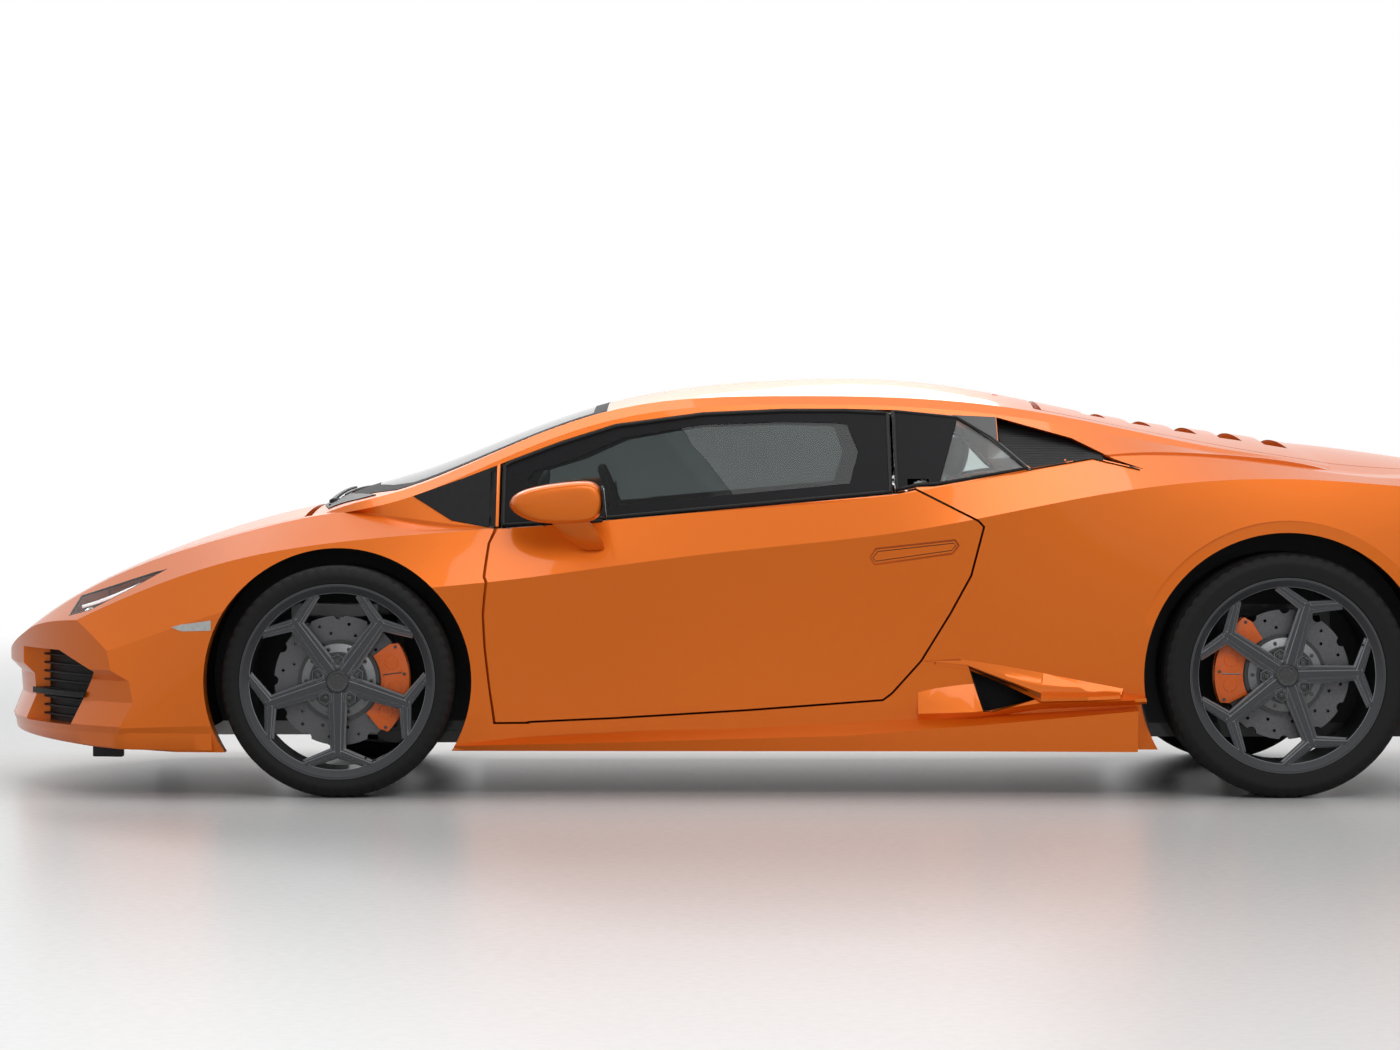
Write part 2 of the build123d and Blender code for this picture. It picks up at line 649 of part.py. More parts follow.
with BuildPart() as sills:
    add([panel(sill_region, (), cut_wells=False), blade_form(SKIRT, 14), blade_form(FIN, None)])
    neighbours = [door_clear, wells, panels["rear_quarters"]]
    add([side_prism(POCKET_SIDE, POCKET_Y)] + neighbours, mode=Mode.SUBTRACT)
with BuildPart() as side_glass:
    add(quarter_glass_region)
    add(triangle_region)
panels["quarter_windows"] = panel(side_glass.part, (door_clear,), glass_void, False)



def left_half(region):
    with BuildPart() as half:
        add(region)
        with Locations((0, -FAR_Y, 0)):
            Box(3 * LENGTH, 2 * FAR_Y, 6 * HEIGHT, mode=Mode.SUBTRACT)
    return half.part


def block(x_from, x_to, y_from, y_to, z_from, z_to, mode=Mode.ADD):
    """A box between drawn limits, on both sides of the car, or across it if y_from is zero."""
    x0, x1, y0, y1 = along(x_from), along(x_to), across(y_from), across(y_to)
    z0, z1 = up(z_from), up(z_to)
    spans = [(-y1, y1)] if y_from == 0 else [(y0, y1), (-y1, -y0)]
    for low, high in spans:
        with Locations(((x0 + x1) / 2, (low + high) / 2, (z0 + z1) / 2)):
            Box(x1 - x0, high - low, z1 - z0, mode=mode)


def upright_rod(x, y, z_from, z_to, radius, mode=Mode.ADD):
    with Locations((x, y, (z_from + z_to) / 2)):
        Cylinder(radius, z_to - z_from, mode=mode)


def cross_rod(x, y_from, y_to, z, radius, mode=Mode.ADD):
    with Locations((x, (y_from + y_to) / 2, z)):
        Cylinder(radius, abs(y_to - y_from), rotation=(90, 0, 0), mode=mode)


def crown_height(x):
    """The height of the body's centre line at a drawn x."""
    with BuildPart() as probe:
        with Locations((along(x), 0, up(900))):
            Box(1, 1, up(1000))
        add(body, mode=Mode.INTERSECT)
    return probe.part.bounding_box().max.Z


# ---------------------------------------------------------------- hinges
HINGE_PIN_RADIUS = 8
LUG_RADIUS = 20
LUG_GAP = 6
PIN_REACH = 26
PIN_CLEARANCE = 0.3
LID_HINGE_SETBACK = 25
LID_HINGE_DEPTH = 20
LID_PIN_RADIUS = 5
LID_LUG_Y = (112, 148)
LID_HINGE_X = along(1322 + LID_HINGE_SETBACK)
LID_HINGE_Z = crown_height(1322 + LID_HINGE_SETBACK) - LID_HINGE_DEPTH
COVER_HINGE_X = along(-764 - LID_HINGE_SETBACK)
COVER_HINGE_Z = crown_height(-764 - LID_HINGE_SETBACK) - LID_HINGE_DEPTH

HANDLE_SIDE = [(-260, 664), (-276, 688), (-495, 712), (-505, 696), (-488, 674), (-273, 643)]
HANDLE_GROOVE_Y = 899
with BuildPart() as handle_groove:
    add(side_prism(HANDLE_SIDE, HANDLE_GROOVE_Y, grow=2))
    add(side_prism(HANDLE_SIDE, grow=-3), mode=Mode.SUBTRACT)

with BuildPart() as left_door:
    add(panel(left_half(door_region()), (handle_groove.part,), cut_wells=False))
    for low, high in DOOR_LUGS_Z:
        z0, z1 = up(low) - LUG_GAP, up(high) + LUG_GAP
        with Locations((HINGE_X + 45, HINGE_Y - 40, (z0 + z1) / 2)):
            Box(150, 130, z1 - z0, mode=Mode.SUBTRACT)
        upright_rod(HINGE_X, HINGE_Y, z0 - 26, z1 + 26, HINGE_PIN_RADIUS + PIN_CLEARANCE, Mode.SUBTRACT)

with BuildPart() as left_door_glass:
    add(panel(left_half(door_glass_region), (), glass_void, False))

MIRROR_OUTLINE = [(735, 812), (676, 857), (501, 878), (470, 829), (487, 763), (655, 760)]
MIRROR_STALK = [(631, 765), (520, 770), (462, 735), (466, 690), (530, 672), (600, 715)]
with BuildPart() as left_mirror:
    with BuildSketch(Plane.XZ.offset(-across(935))):
        with BuildLine():
            Polyline(side_points(MIRROR_OUTLINE), close=True)
        make_face()
    extrude(amount=-across(1045 - 935))
    fillet(left_mirror.edges().group_by(Axis.Y)[-1], 26)
    with BuildSketch(Plane.XZ.offset(-across(860))):
        with BuildLine():
            Polyline(side_points(MIRROR_STALK), close=True)
        make_face()
    extrude(amount=-across(975 - 860))
    add(body, mode=Mode.SUBTRACT)



def lid_with_hinges(region, hinge_x, hinge_z, back):
    """A lid with two pockets below its skin for the hinge lugs, open towards its hinged edge."""
    with BuildPart() as lid:
        add(panel(region, cut_wells=False))
        for side in (1, -1):
            lug_y = side * sum(LID_LUG_Y) / 2
            with Locations((hinge_x + back * 30, lug_y, hinge_z - 80)):
                Box(84, 60, 180, mode=Mode.SUBTRACT)
            cross_rod(hinge_x, lug_y - 52, lug_y + 52, hinge_z, LID_PIN_RADIUS + PIN_CLEARANCE, Mode.SUBTRACT)
    return lid.part


front_lid = lid_with_hinges(lid_region, LID_HINGE_X, LID_HINGE_Z, -1)

LOUVRE_FIRST_X = -872
LOUVRE_PITCH = 122
LOUVRE_SLOT = 62
LOUVRE_LEAN = 90
LOUVRE_HALF_WIDTHS = [352, 372, 386, 394, 398]
louvre_slots = []
for index, half_width in enumerate(LOUVRE_HALF_WIDTHS):
    x = LOUVRE_FIRST_X - index * LOUVRE_PITCH
    low_x = x - LOUVRE_LEAN
    slot = [(x, 1120), (x - LOUVRE_SLOT, 1120), (low_x - LOUVRE_SLOT, 850), (low_x, 850)]
    louvre_slots.append(side_prism(slot, y_to=across(half_width)))
with BuildPart() as engine_cover:
    add(lid_with_hinges(cover_region, COVER_HINGE_X, COVER_HINGE_Z, 1))
    add(louvre_slots, mode=Mode.SUBTRACT)

# ---------------------------------------------------------------- tub
FRAME_Y = 520
REAR_FRAME_Y = 612
with BuildPart() as tub:
    block(-745, 1124, 0, 760, FLOOR_Z, FLOOR_Z + FLOOR_THICKNESS)
    block(-560, 826, 660, 760, FLOOR_Z, 200)
    block(780, 814, 490, 700, FLOOR_Z, 690)
    block(780, 1124, 490, FRAME_Y, FLOOR_Z, 660)
    block(1096, 1124, 0, FRAME_Y, FLOOR_Z, 790)
    block(-745, -705, 0, 800, FLOOR_Z, 1095)
    block(-705, 1096, 0, 110, FLOOR_Z, 330)
    block(-1950, -745, 0, REAR_FRAME_Y, 150, 168)
    block(-1950, -745, 582, REAR_FRAME_Y, 150, 720)
    block(-2100, -1950, 582, REAR_FRAME_Y, 320, 570)
    block(-2015, -1950, 582, REAR_FRAME_Y, 570, 720)
    block(-745, -705, 0, 760, 700, 760)
    add(void, mode=Mode.INTERSECT)
    add(door_clear, mode=Mode.SUBTRACT)
    add(wells, mode=Mode.SUBTRACT)
    for side in (1, -1):
        for low, high in DOOR_LUGS_Z:
            z0, z1 = up(low), up(high)
            with Locations((HINGE_X, side * (HINGE_Y - 58), (z0 + z1) / 2)):
                Box(DOOR_ARM_WIDTH, 116, z1 - z0)
            with Locations((HINGE_X + 40, side * (HINGE_Y - 130), (z0 + z1) / 2)):
                Box(100, 60, z1 - z0)
            upright_rod(HINGE_X, side * HINGE_Y, z0, z1, LUG_RADIUS)
            upright_rod(HINGE_X, side * HINGE_Y, z0 - PIN_REACH, z1 + PIN_REACH, HINGE_PIN_RADIUS)
    for hinge_x, hinge_z, wall_x in (
        (LID_HINGE_X, LID_HINGE_Z, along(1124)),
        (COVER_HINGE_X, COVER_HINGE_Z, along(-745)),
    ):
        foot = 72
        for side in (1, -1):
            lug_y = side * sum(LID_LUG_Y) / 2
            width = LID_LUG_Y[1] - LID_LUG_Y[0]
            with Locations((hinge_x, lug_y, hinge_z - foot / 2)):
                Box(14, width, foot)
            near, far = sorted((hinge_x + (7 if hinge_x > wall_x else -7), wall_x))
            with Locations(((near + far) / 2, lug_y, hinge_z - foot - 6)):
                Box(far - near, width, 14)
            cross_rod(hinge_x, lug_y - width / 2, lug_y + width / 2, hinge_z, 7)
            cross_rod(hinge_x, lug_y - 46, lug_y + 46, hinge_z, LID_PIN_RADIUS)

with BuildPart() as front_frame:
    block(1124, 2100, 490, FRAME_Y, 150, 520)
    block(1124, 2030, 0, FRAME_Y, 150, 168)
    add(void, mode=Mode.INTERSECT)

# ---------------------------------------------------------------- tail
with BuildPart() as rear_bumper:
    add(panels["rear_bumper"])
    for side in (1, -1):
        with BuildSketch(Plane.YZ.offset(along(-1950))):
            with Locations((side * across(190), up(345))):
                Ellipse(52, 38)
        extrude(amount=along(-2400) - along(-1950), mode=Mode.SUBTRACT)
DIFFUSER_CHANNEL = [(-2350, 60), (-2350, 276), (-2000, 160), (-2000, 60)]
DIFFUSER_FINS_Y = [0, 155, 310, 465, 628]
FIN_HALF_THICKNESS = 7
with BuildPart() as diffuser:
    add(panel(diffuser_region, (), ends=(tail_form,)))
    for fin_y, next_y in zip(DIFFUSER_FINS_Y, DIFFUSER_FINS_Y[1:]):
        span = (fin_y + FIN_HALF_THICKNESS, next_y - FIN_HALF_THICKNESS)
        add(side_prism(DIFFUSER_CHANNEL, *span), mode=Mode.SUBTRACT)

# ---------------------------------------------------------------- cabin
with BuildPart() as dashboard:
    outline = [(1096, 640), (1096, 745), (900, 775), (660, 790), (600, 740), (640, 630), (760, 600)]
    add(side_prism(outline, y_to=across(690)))
    block(600, 1096, 0, 110, 330, 620)
    add(void, mode=Mode.INTERSECT)
    for side in (1, -1):
        with Locations((along(860), side * across(735), up(640))):
            Box(480, 100, 500, mode=Mode.SUBTRACT)
    add(tub.part, mode=Mode.SUBTRACT)
    front_well = WELLS[0]
    liner_back_y = front_well.depth - LINER_THICKNESS - 1 - LINER_GAP
    axle_cylinders(
        front_well, front_well.arch + WELL_EXTRA, liner_back_y, FAR_Y, Mode.SUBTRACT
    )

SEAT_SIDE = [
    (280, 162), (300, 250), (250, 300), (-130, 270), (-180, 330), (-420, 760), (-460, 900),
    (-560, 905), (-590, 860), (-560, 700), (-330, 200), (-300, 162),
]
HEADREST_SIDE = [(-450, 880), (-470, 990), (-540, 1005), (-580, 985), (-565, 880)]
with BuildPart() as seats:
    add(side_prism(SEAT_SIDE, y_from=across(135), y_to=across(600)))
    add(side_prism(HEADREST_SIDE, y_from=across(240), y_to=across(495)))

WHEEL_CENTRE = (along(430), across(372), up(752))
WHEEL_TILT = 21
STEERING_RADIUS = 178
COLUMN_RADIUS = 24
COLUMN_PIN = 9
with BuildPart() as steering_wheel:
    Torus(STEERING_RADIUS - 14, 14)
    Cylinder(46, 34)
    for angle in (0, 180, 270):
        with PolarLocations(92, 1, start_angle=angle):
            Box(140, 34, 14)
    Cylinder(COLUMN_PIN + PIN_CLEARANCE, 60, mode=Mode.SUBTRACT)
    with Locations((0, 0, 22)):
        Cylinder(30, 10)
steering_plane = Plane(
    origin=WHEEL_CENTRE,
    x_dir=(0, 1, 0),
    z_dir=(-cos(radians(WHEEL_TILT)), 0, sin(radians(WHEEL_TILT))),
)
steering_wheel_part = steering_plane.location * steering_wheel.part
with BuildPart() as column:
    with Locations((0, 0, -24 - 110)):
        Cylinder(COLUMN_RADIUS, 220)
    with Locations((0, 0, -10)):
        Cylinder(COLUMN_PIN, 40)
with BuildPart(mode=Mode.PRIVATE) as dashboard_whole:
    add(dashboard.part)
    add(steering_plane.location * column.part)

# ---------------------------------------------------------------- engine
with BuildPart() as engine:
    block(-1520, -860, 0, 300, 168, 560)
    block(-1420, -900, 0, 380, 430, 640)
with BuildPart() as exhausts:
    for side in (1, -1):
        cross_y = side * across(190)
        with BuildSketch(Plane.YZ.offset(along(-1520))):
            with Locations((cross_y, up(345))):
                Ellipse(52, 38)
        extrude(amount=along(-2215) - along(-1520))
        with BuildSketch(Plane.YZ.offset(along(-1700))):
            with Locations((cross_y, up(345))):
                Ellipse(46, 32)
        extrude(amount=along(-2215) - along(-1700), mode=Mode.SUBTRACT)

# ---------------------------------------------------------------- wheels
Corner = namedtuple("Corner", "name x y radius width face first_spoke caliper_angle")
FRONT = Corner("front", FRONT_AXLE_X, FRONT_WHEEL_Y, FRONT_TYRE_RADIUS, FRONT_TYRE_WIDTH, 105, 180, 210)
REAR = Corner("rear", REAR_AXLE_X, REAR_WHEEL_Y, REAR_TYRE_RADIUS, REAR_TYRE_WIDTH, 135, -88, 0)
FLANGE_RADIUS = 272
BEAD_RADIUS = 254
BARREL_RADIUS = 244
SPINDLE_RADIUS = 30
HUB_BORE_RADIUS = 30.05
SPOKE_FORK_RADIUS = 201
SPOKE_FORK_ANGLE = 22
SPOKE_FOOT = 34  # from the wheel's face back to the spokes' inner side
SPOKE_DEPTH = 20
SPOKE_BEVEL = 6
SPOKE_RIDGE = 3
SPOKE_BEVEL_ANGLE = 40
DISC_RADIUS = 180
DISC_HOLE_RINGS = [108, 132, 158]
DISC_HOLE_RADIUS = 4.5
KINGPIN_Y = 768
KINGPIN_RADIUS = 12


def wheel_plane(y):
    """A plane across the wheel's axle, local x up and local y forward."""
    return Plane(origin=(0, y, 0), x_dir=(0, 0, 1), z_dir=(0, 1, 0))


def turned_ring(profile):
    """A ring about the axle from a closed list of (y, radius)."""
    with BuildPart() as ring:
        with BuildSketch(Plane.XY):
            with BuildLine():
                Polyline([(radius, y) for y, radius in profile], close=True)
            make_face()
        revolve(axis=Axis.Y)
    return ring.part


def tapered_bar(start, end, width_from, width_to):
    """A flat bar between two points (u, v), added to the active sketch."""
    (u0, v0), (u1, v1) = start, end
    run = sqrt((u1 - u0) ** 2 + (v1 - v0) ** 2)
    nu, nv = -(v1 - v0) / run, (u1 - u0) / run
    a, b = width_from / 2, width_to / 2
    Polygon(
        (u0 + nu * a, v0 + nv * a), (u1 + nu * b, v1 + nv * b),
        (u1 - nu * b, v1 - nv * b), (u0 - nu * a, v0 - nv * a), align=None,
    )


def make_tyre(corner):
    half, r = corner.width / 2, corner.radius
    bead = corner.face - 1.3
    side = [(bead, BEAD_RADIUS + 0.3), (bead, FLANGE_RADIUS + 1), (half - 6, FLANGE_RADIUS + 8),
            (half, r - 34), (half - 3, r - 16), (half - 14, r - 3), (half - 30, r)]
    return turned_ring(side + [(-y, radius) for y, radius in reversed(side)])


def make_spoke():
    """One forked spoke along local x, its foot at y 0: bevelled bars, each with a ridge."""
    tip, reach = radians(SPOKE_FORK_ANGLE), BARREL_RADIUS + 4
    Bar = namedtuple("Bar", "start end width_from width_to")
    bars = [Bar((24, 0), (SPOKE_FORK_RADIUS + 8, 0), 56, 40)]
    for sign in (1, -1):
        end = (reach * cos(tip), sign * reach * sin(tip))
        bars.append(Bar((SPOKE_FORK_RADIUS - 4, sign * 5), end, 34, 26))
    tiers = []
    for start, end, width_from, width_to in bars:
        for foot, share, height, taper in (
            (0, 1, SPOKE_DEPTH, 0),
            (SPOKE_DEPTH, 1, SPOKE_BEVEL, SPOKE_BEVEL_ANGLE),
            (SPOKE_DEPTH + SPOKE_BEVEL, 0.45, SPOKE_RIDGE, SPOKE_BEVEL_ANGLE),
        ):
            with BuildPart() as tier:
                with BuildSketch(wheel_plane(foot)):
                    tapered_bar(start, end, share * width_from, share * width_to)
                extrude(amount=height, taper=taper)
            tiers.append(tier.part)
    with BuildPart() as spoke:
        add(tiers)
        cross_rod(0, -1, SPOKE_DEPTH + 20, 0, BARREL_RADIUS + 5, Mode.INTERSECT)
    return spoke.part


spoke = make_spoke()


def make_rim(corner):
    face = corner.face
    lip = face + 9
    flange = [(face, BEAD_RADIUS), (face, FLANGE_RADIUS), (lip, FLANGE_RADIUS),
              (lip, FLANGE_RADIUS - 9), (face - 8, BARREL_RADIUS)]
    inner = [(-y, radius) for y, radius in reversed(flange)]
    with BuildPart() as hub:
        cross_rod(0, face - 60, face - 27, 0, 80)
        cross_rod(0, face - 29, face - 4, 0, 33)
    turned = [
        spoke.rotate(Axis.Y, corner.first_spoke + 72 * index).translate((0, face - SPOKE_FOOT, 0))
        for index in range(5)
    ]
    with BuildPart() as rim:
        add([turned_ring(flange + inner), hub.part] + turned)
        cross_rod(0, face - 61, face - 29, 0, HUB_BORE_RADIUS, Mode.SUBTRACT)
    return rim.part


def make_disc(corner):
    face = corner.face
    front, back = face - 72, face - 100
    with BuildPart() as disc:
        add(turned_ring([
            (face - 60, HUB_BORE_RADIUS), (face - 60, 76), (front, 76), (front, DISC_RADIUS),
            (back, DISC_RADIUS), (back, 66), (face - 68, 66), (face - 68, HUB_BORE_RADIUS),
        ]))
        with BuildSketch(wheel_plane(back - 1)):
            with PolarLocations(DISC_RADIUS + 3, 12):
                Circle(14)
            for ring, radius in enumerate(DISC_HOLE_RINGS):
                with PolarLocations(radius, 12, start_angle=10 * ring):
                    Circle(DISC_HOLE_RADIUS)
        extrude(amount=front - back + 2, mode=Mode.SUBTRACT)
    return disc.part


def make_caliper(corner):
    face = corner.face
    front, back = face - 72 + 24, face - 100 - 25
    with BuildPart() as caliper:
        with BuildSketch(wheel_plane(back)):
            with BuildLine():
                arc = 29
                outer = [(202 * cos(radians(a)), 202 * sin(radians(a))) for a in (-arc, 0, arc)]
                inner = [(122 * cos(radians(a)), 122 * sin(radians(a))) for a in (arc, 0, -arc)]
                ThreePointArc(*outer)
                Line(outer[2], inner[0])
                ThreePointArc(*inner)
                Line(inner[2], outer[0])
            make_face()
        extrude(amount=front - back)
        cross_rod(0, face - 105, face - 67, 0, DISC_RADIUS + 6, Mode.SUBTRACT)
    turn = Rotation(0, 90 - corner.caliper_angle, 0)
    return turn * caliper.part


wheel_pieces = {}
for corner in (FRONT, REAR):
    place = Location((corner.x, corner.y, corner.radius))
    wheel_pieces[corner.name] = {
        "tyre": place * make_tyre(corner),
        "rim": place * make_rim(corner),
        "brake_disc": place * make_disc(corner),
        "caliper": place * make_caliper(corner),
    }

# ---------------------------------------------------------------- suspension
with BuildPart() as left_knuckle:
    with Locations((FRONT_AXLE_X, across(KINGPIN_Y) + 2, FRONT_TYRE_RADIUS + 10)):
        Box(48, 52, 274)
    cross_rod(FRONT_AXLE_X, KINGPIN_Y, FRONT_WHEEL_Y + 74, FRONT_TYRE_RADIUS, SPINDLE_RADIUS)
    upright_rod(FRONT_AXLE_X, KINGPIN_Y, 168, 494, KINGPIN_RADIUS)
    angle = radians(FRONT.caliper_angle)
    with Locations(
        Location((FRONT_AXLE_X + 85 * cos(angle), FRONT_WHEEL_Y - 31, FRONT_TYRE_RADIUS + 85 * sin(angle)),
                 (0, -FRONT.caliper_angle, 0))
    ):
        Box(120, 22, 60)


def wishbones(x, z_list, wall_y, tip_y, tip_half, foot_half, thickness):
    """Pairs of A-shaped arms from the frame's walls out to the wheel carriers."""
    with BuildPart() as arms:
        for side in (1, -1):
            for z in z_list:
                with BuildSketch(Plane.XY.offset(z - thickness / 2)):
                    for inset in (0, 26):
                        y_tip = side * (tip_y - 1.6 * inset)
                        near, far = tip_half - inset * 0.5, foot_half - inset
                        Polygon(
                            (x - near, y_tip), (x + near, y_tip),
                            (x + far, side * wall_y), (x - far, side * wall_y),
                            align=None, mode=Mode.SUBTRACT if inset else Mode.ADD,
                        )
                extrude(amount=thickness)
    return arms.part


with BuildPart() as front_arms:
    add(wishbones(FRONT_AXLE_X, (181, 481), FRAME_Y, KINGPIN_Y, 24, 140, 22))
    for side in (1, -1):
        for z in (181, 481):
            upright_rod(FRONT_AXLE_X, side * KINGPIN_Y, z - 11, z + 11, 26)
            upright_rod(
                FRONT_AXLE_X, side * KINGPIN_Y, z - 12, z + 12, KINGPIN_RADIUS + PIN_CLEARANCE,
                Mode.SUBTRACT,
            )

with BuildPart() as rear_suspension:
    add(wishbones(REAR_AXLE_X, (200, 480), REAR_FRAME_Y, 742, 30, 130, 24))
    for side in (1, -1):
        with Locations((REAR_AXLE_X, side * 762, REAR_TYRE_RADIUS)):
            Box(60, 52, 310)
        cross_rod(REAR_AXLE_X, side * 762, side * (REAR_WHEEL_Y + 104), REAR_TYRE_RADIUS, SPINDLE_RADIUS)
        with Locations((REAR_AXLE_X + 85, side * 797, REAR_TYRE_RADIUS)):
            Box(130, 18, 60)

# ---------------------------------------------------------------- the nodes
def mirrored(part):
    return mirror(part, about=Plane.XZ)


def large_solids(part, least=40_000):
    """The pieces above a volume, as one part."""
    with BuildPart() as kept:
        for solid in part.solids():
            if solid.volume > least:
                add(solid)
    return kept.part


nodes = {name: large_solids(part) for name, part in panels.items()}
nodes.update({
    "tub": tub.part,
    "front_frame": front_frame.part,
    "wheel_liners": wheel_liners.part,
    "rear_bumper": rear_bumper.part,
    "sills": sills.part,
    "front_lid": front_lid,
    "engine_cover": engine_cover.part,
    "left_door": left_door.part,
    "left_door_glass": left_door_glass.part,
    "left_mirror": left_mirror.part,
    "front_grilles": front_grilles.part,
    "tail_lamps": tail_lamps.part,
    "rear_mesh": rear_mesh.part,
    "diffuser": diffuser.part,
    "dashboard": dashboard_whole.part,
    "seats": seats.part,
    "steering_wheel": steering_wheel_part,
    "engine": engine.part,
    "exhausts": exhausts.part,
    "left_knuckle": left_knuckle.part,
    "front_arms": front_arms.part,
    "rear_suspension": rear_suspension.part,
})
for position, pieces in wheel_pieces.items():
    for kind in ("tyre", "rim", "brake_disc"):
        nodes[f"{position}_left_{kind}"] = pieces[kind]
nodes["front_left_caliper"] = wheel_pieces["front"]["caliper"]
for name in list(nodes):
    if "left_" in name:
        nodes[name.replace("left_", "right_")] = mirrored(nodes[name])
with BuildPart() as rear_calipers:
    add(wheel_pieces["rear"]["caliper"])
    add(mirrored(wheel_pieces["rear"]["caliper"]))
nodes["rear_calipers"] = rear_calipers.part

os.makedirs("parts", exist_ok=True)
for name, part in nodes.items():
    part.label = name
    export_step(part, f"parts/{name}.step")
    print(f"{name:22s} valid {part.is_valid} solids {len(part.solids())} {part.volume / 1e6:8.2f}")
print("front lid hinge", LID_HINGE_X, LID_HINGE_Z)
print("engine cover hinge", COVER_HINGE_X, COVER_HINGE_Z)
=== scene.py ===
# %% [markdown]
# # A mid-engined coupe in the studio
#
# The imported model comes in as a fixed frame: every panel, window, wheel and hinge is
# already at its real size and place, in metres, with +X towards the nose, +Y towards the
# car's left side and +Z up. This script gives those pieces their finishes, adds the forms
# that are looks rather than structure, and sets up the floor, the lights and the camera.

# %% Load the frame
import bmesh
import bpy
import json
import math
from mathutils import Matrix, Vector
from mathutils.bvhtree import BVHTree


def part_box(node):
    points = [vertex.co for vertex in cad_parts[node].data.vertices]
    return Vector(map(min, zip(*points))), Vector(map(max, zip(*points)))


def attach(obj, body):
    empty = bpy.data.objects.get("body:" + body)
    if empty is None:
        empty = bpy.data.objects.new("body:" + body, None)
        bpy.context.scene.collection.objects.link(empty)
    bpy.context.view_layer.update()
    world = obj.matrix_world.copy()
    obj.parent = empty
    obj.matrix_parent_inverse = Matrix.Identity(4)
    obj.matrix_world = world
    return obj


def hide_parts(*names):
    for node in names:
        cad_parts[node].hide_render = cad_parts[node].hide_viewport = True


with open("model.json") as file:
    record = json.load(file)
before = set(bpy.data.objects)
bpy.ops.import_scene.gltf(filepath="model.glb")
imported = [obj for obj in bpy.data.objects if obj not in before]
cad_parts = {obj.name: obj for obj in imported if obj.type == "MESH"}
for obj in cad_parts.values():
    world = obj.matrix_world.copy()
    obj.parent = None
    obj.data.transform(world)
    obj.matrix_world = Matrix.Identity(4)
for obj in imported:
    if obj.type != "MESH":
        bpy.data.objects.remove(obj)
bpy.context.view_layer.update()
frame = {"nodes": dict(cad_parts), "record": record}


# %% [markdown]
# ## Measures
#
# Places are worked out from the frame's own joints and nodes, so that a change in the
# solids carries through to everything that is added here.

# %% Measures from the frame
def joint(name):
    return next(j for j in frame["record"]["behaviour"]["joints"] if j["name"] == name)


SIDES = (("left", 1), ("right", -1))
WHEELS = []  # wheel's name, front or rear, the sign of its side, and its hub
for place in ("front", "rear"):
    hub = Vector(joint(f"{place}_left_spin")["pos_m"])
    for side, sign in SIDES:
        WHEELS.append((f"{place}_{side}", place, sign, Vector((hub.x, sign * hub.y, hub.z))))
HUBS = {wheel: hub for wheel, _, _, hub in WHEELS}
print("wheels", {wheel: [round(v, 3) for v in hub] for wheel, hub in HUBS.items()})


# %% [markdown]
# ## Shader groups
#
# A group holds a pattern that several materials share. It gives out a mask and a normal,
# and the shader itself stays in each material.

# %% Node helpers
def feed(tree, socket, source):
    """Set a socket to a value, or link it from another socket."""
    if isinstance(source, bpy.types.NodeSocket):
        tree.links.new(source, socket)
    else:
        socket.default_value = source


def add_node(tree, kind, settings=None, **inputs):
    """A shader node with its settings and its inputs, whose names have _ for spaces."""
    node = tree.nodes.new("ShaderNode" + kind)
    for name, value in (settings or {}).items():
        setattr(node, name, value)
    for socket, source in inputs.items():
        feed(tree, node.inputs[socket.replace("_", " ")], source)
    return node


def math_node(tree, operation, first, second=None):
    node = add_node(tree, "Math", {"operation": operation})
    feed(tree, node.inputs[0], first)
    if second is not None:
        feed(tree, node.inputs[1], second)
    return node.outputs[0]


def clamped(tree, value, factor):
    """A value times a factor, kept between 0 and 1."""
    return add_node(tree, "Clamp", Value=math_node(tree, "MULTIPLY", value, factor)).outputs[0]


def coordinates(tree, kind="Object"):
    return add_node(tree, "TexCoord").outputs[kind]


def split_coordinates(tree, kind="Object"):
    return add_node(tree, "SeparateXYZ", Vector=coordinates(tree, kind)).outputs


def new_group(name, inputs, outputs):
    """An empty node group with number inputs, as (group, input node, output node)."""
    group = bpy.data.node_groups.new(name, "ShaderNodeTree")
    for socket in inputs:
        group.interface.new_socket(socket, in_out="INPUT", socket_type="NodeSocketFloat")
    for socket, kind in outputs.items():
        group.interface.new_socket(socket, in_out="OUTPUT", socket_type="NodeSocket" + kind)
    return group, group.nodes.new("NodeGroupInput"), group.nodes.new("NodeGroupOutput")


# %% Pattern groups
def speckle_pattern(tree, scale):
    """Fine random grain."""
    noise = add_node(tree, "TexNoise", Vector=coordinates(tree), Scale=scale, Detail=3.0)
    return noise.outputs["Fac"]


def grain_pattern(tree, scale):
    """Leather or moulded grain: small cells with creases between them."""
    cells = add_node(tree, "TexVoronoi", {"feature": "DISTANCE_TO_EDGE"},
                     Vector=coordinates(tree), Scale=scale)
    crease = add_node(tree, "MapRange", Value=cells.outputs["Distance"], From_Max=0.25)
    return crease.outputs["Result"]


def opening_pattern(tree, scale):
    """Rows of offset openings across the car, with thin wires between them."""
    parts = split_coordinates(tree)
    flat = add_node(tree, "CombineXYZ", X=parts["Y"], Y=parts["Z"])
    bricks = add_node(tree, "TexBrick", Vector=flat.outputs[0], Scale=scale, Mortar_Size=0.06,
                      Mortar_Smooth=0.3)
    return bricks.outputs["Fac"]


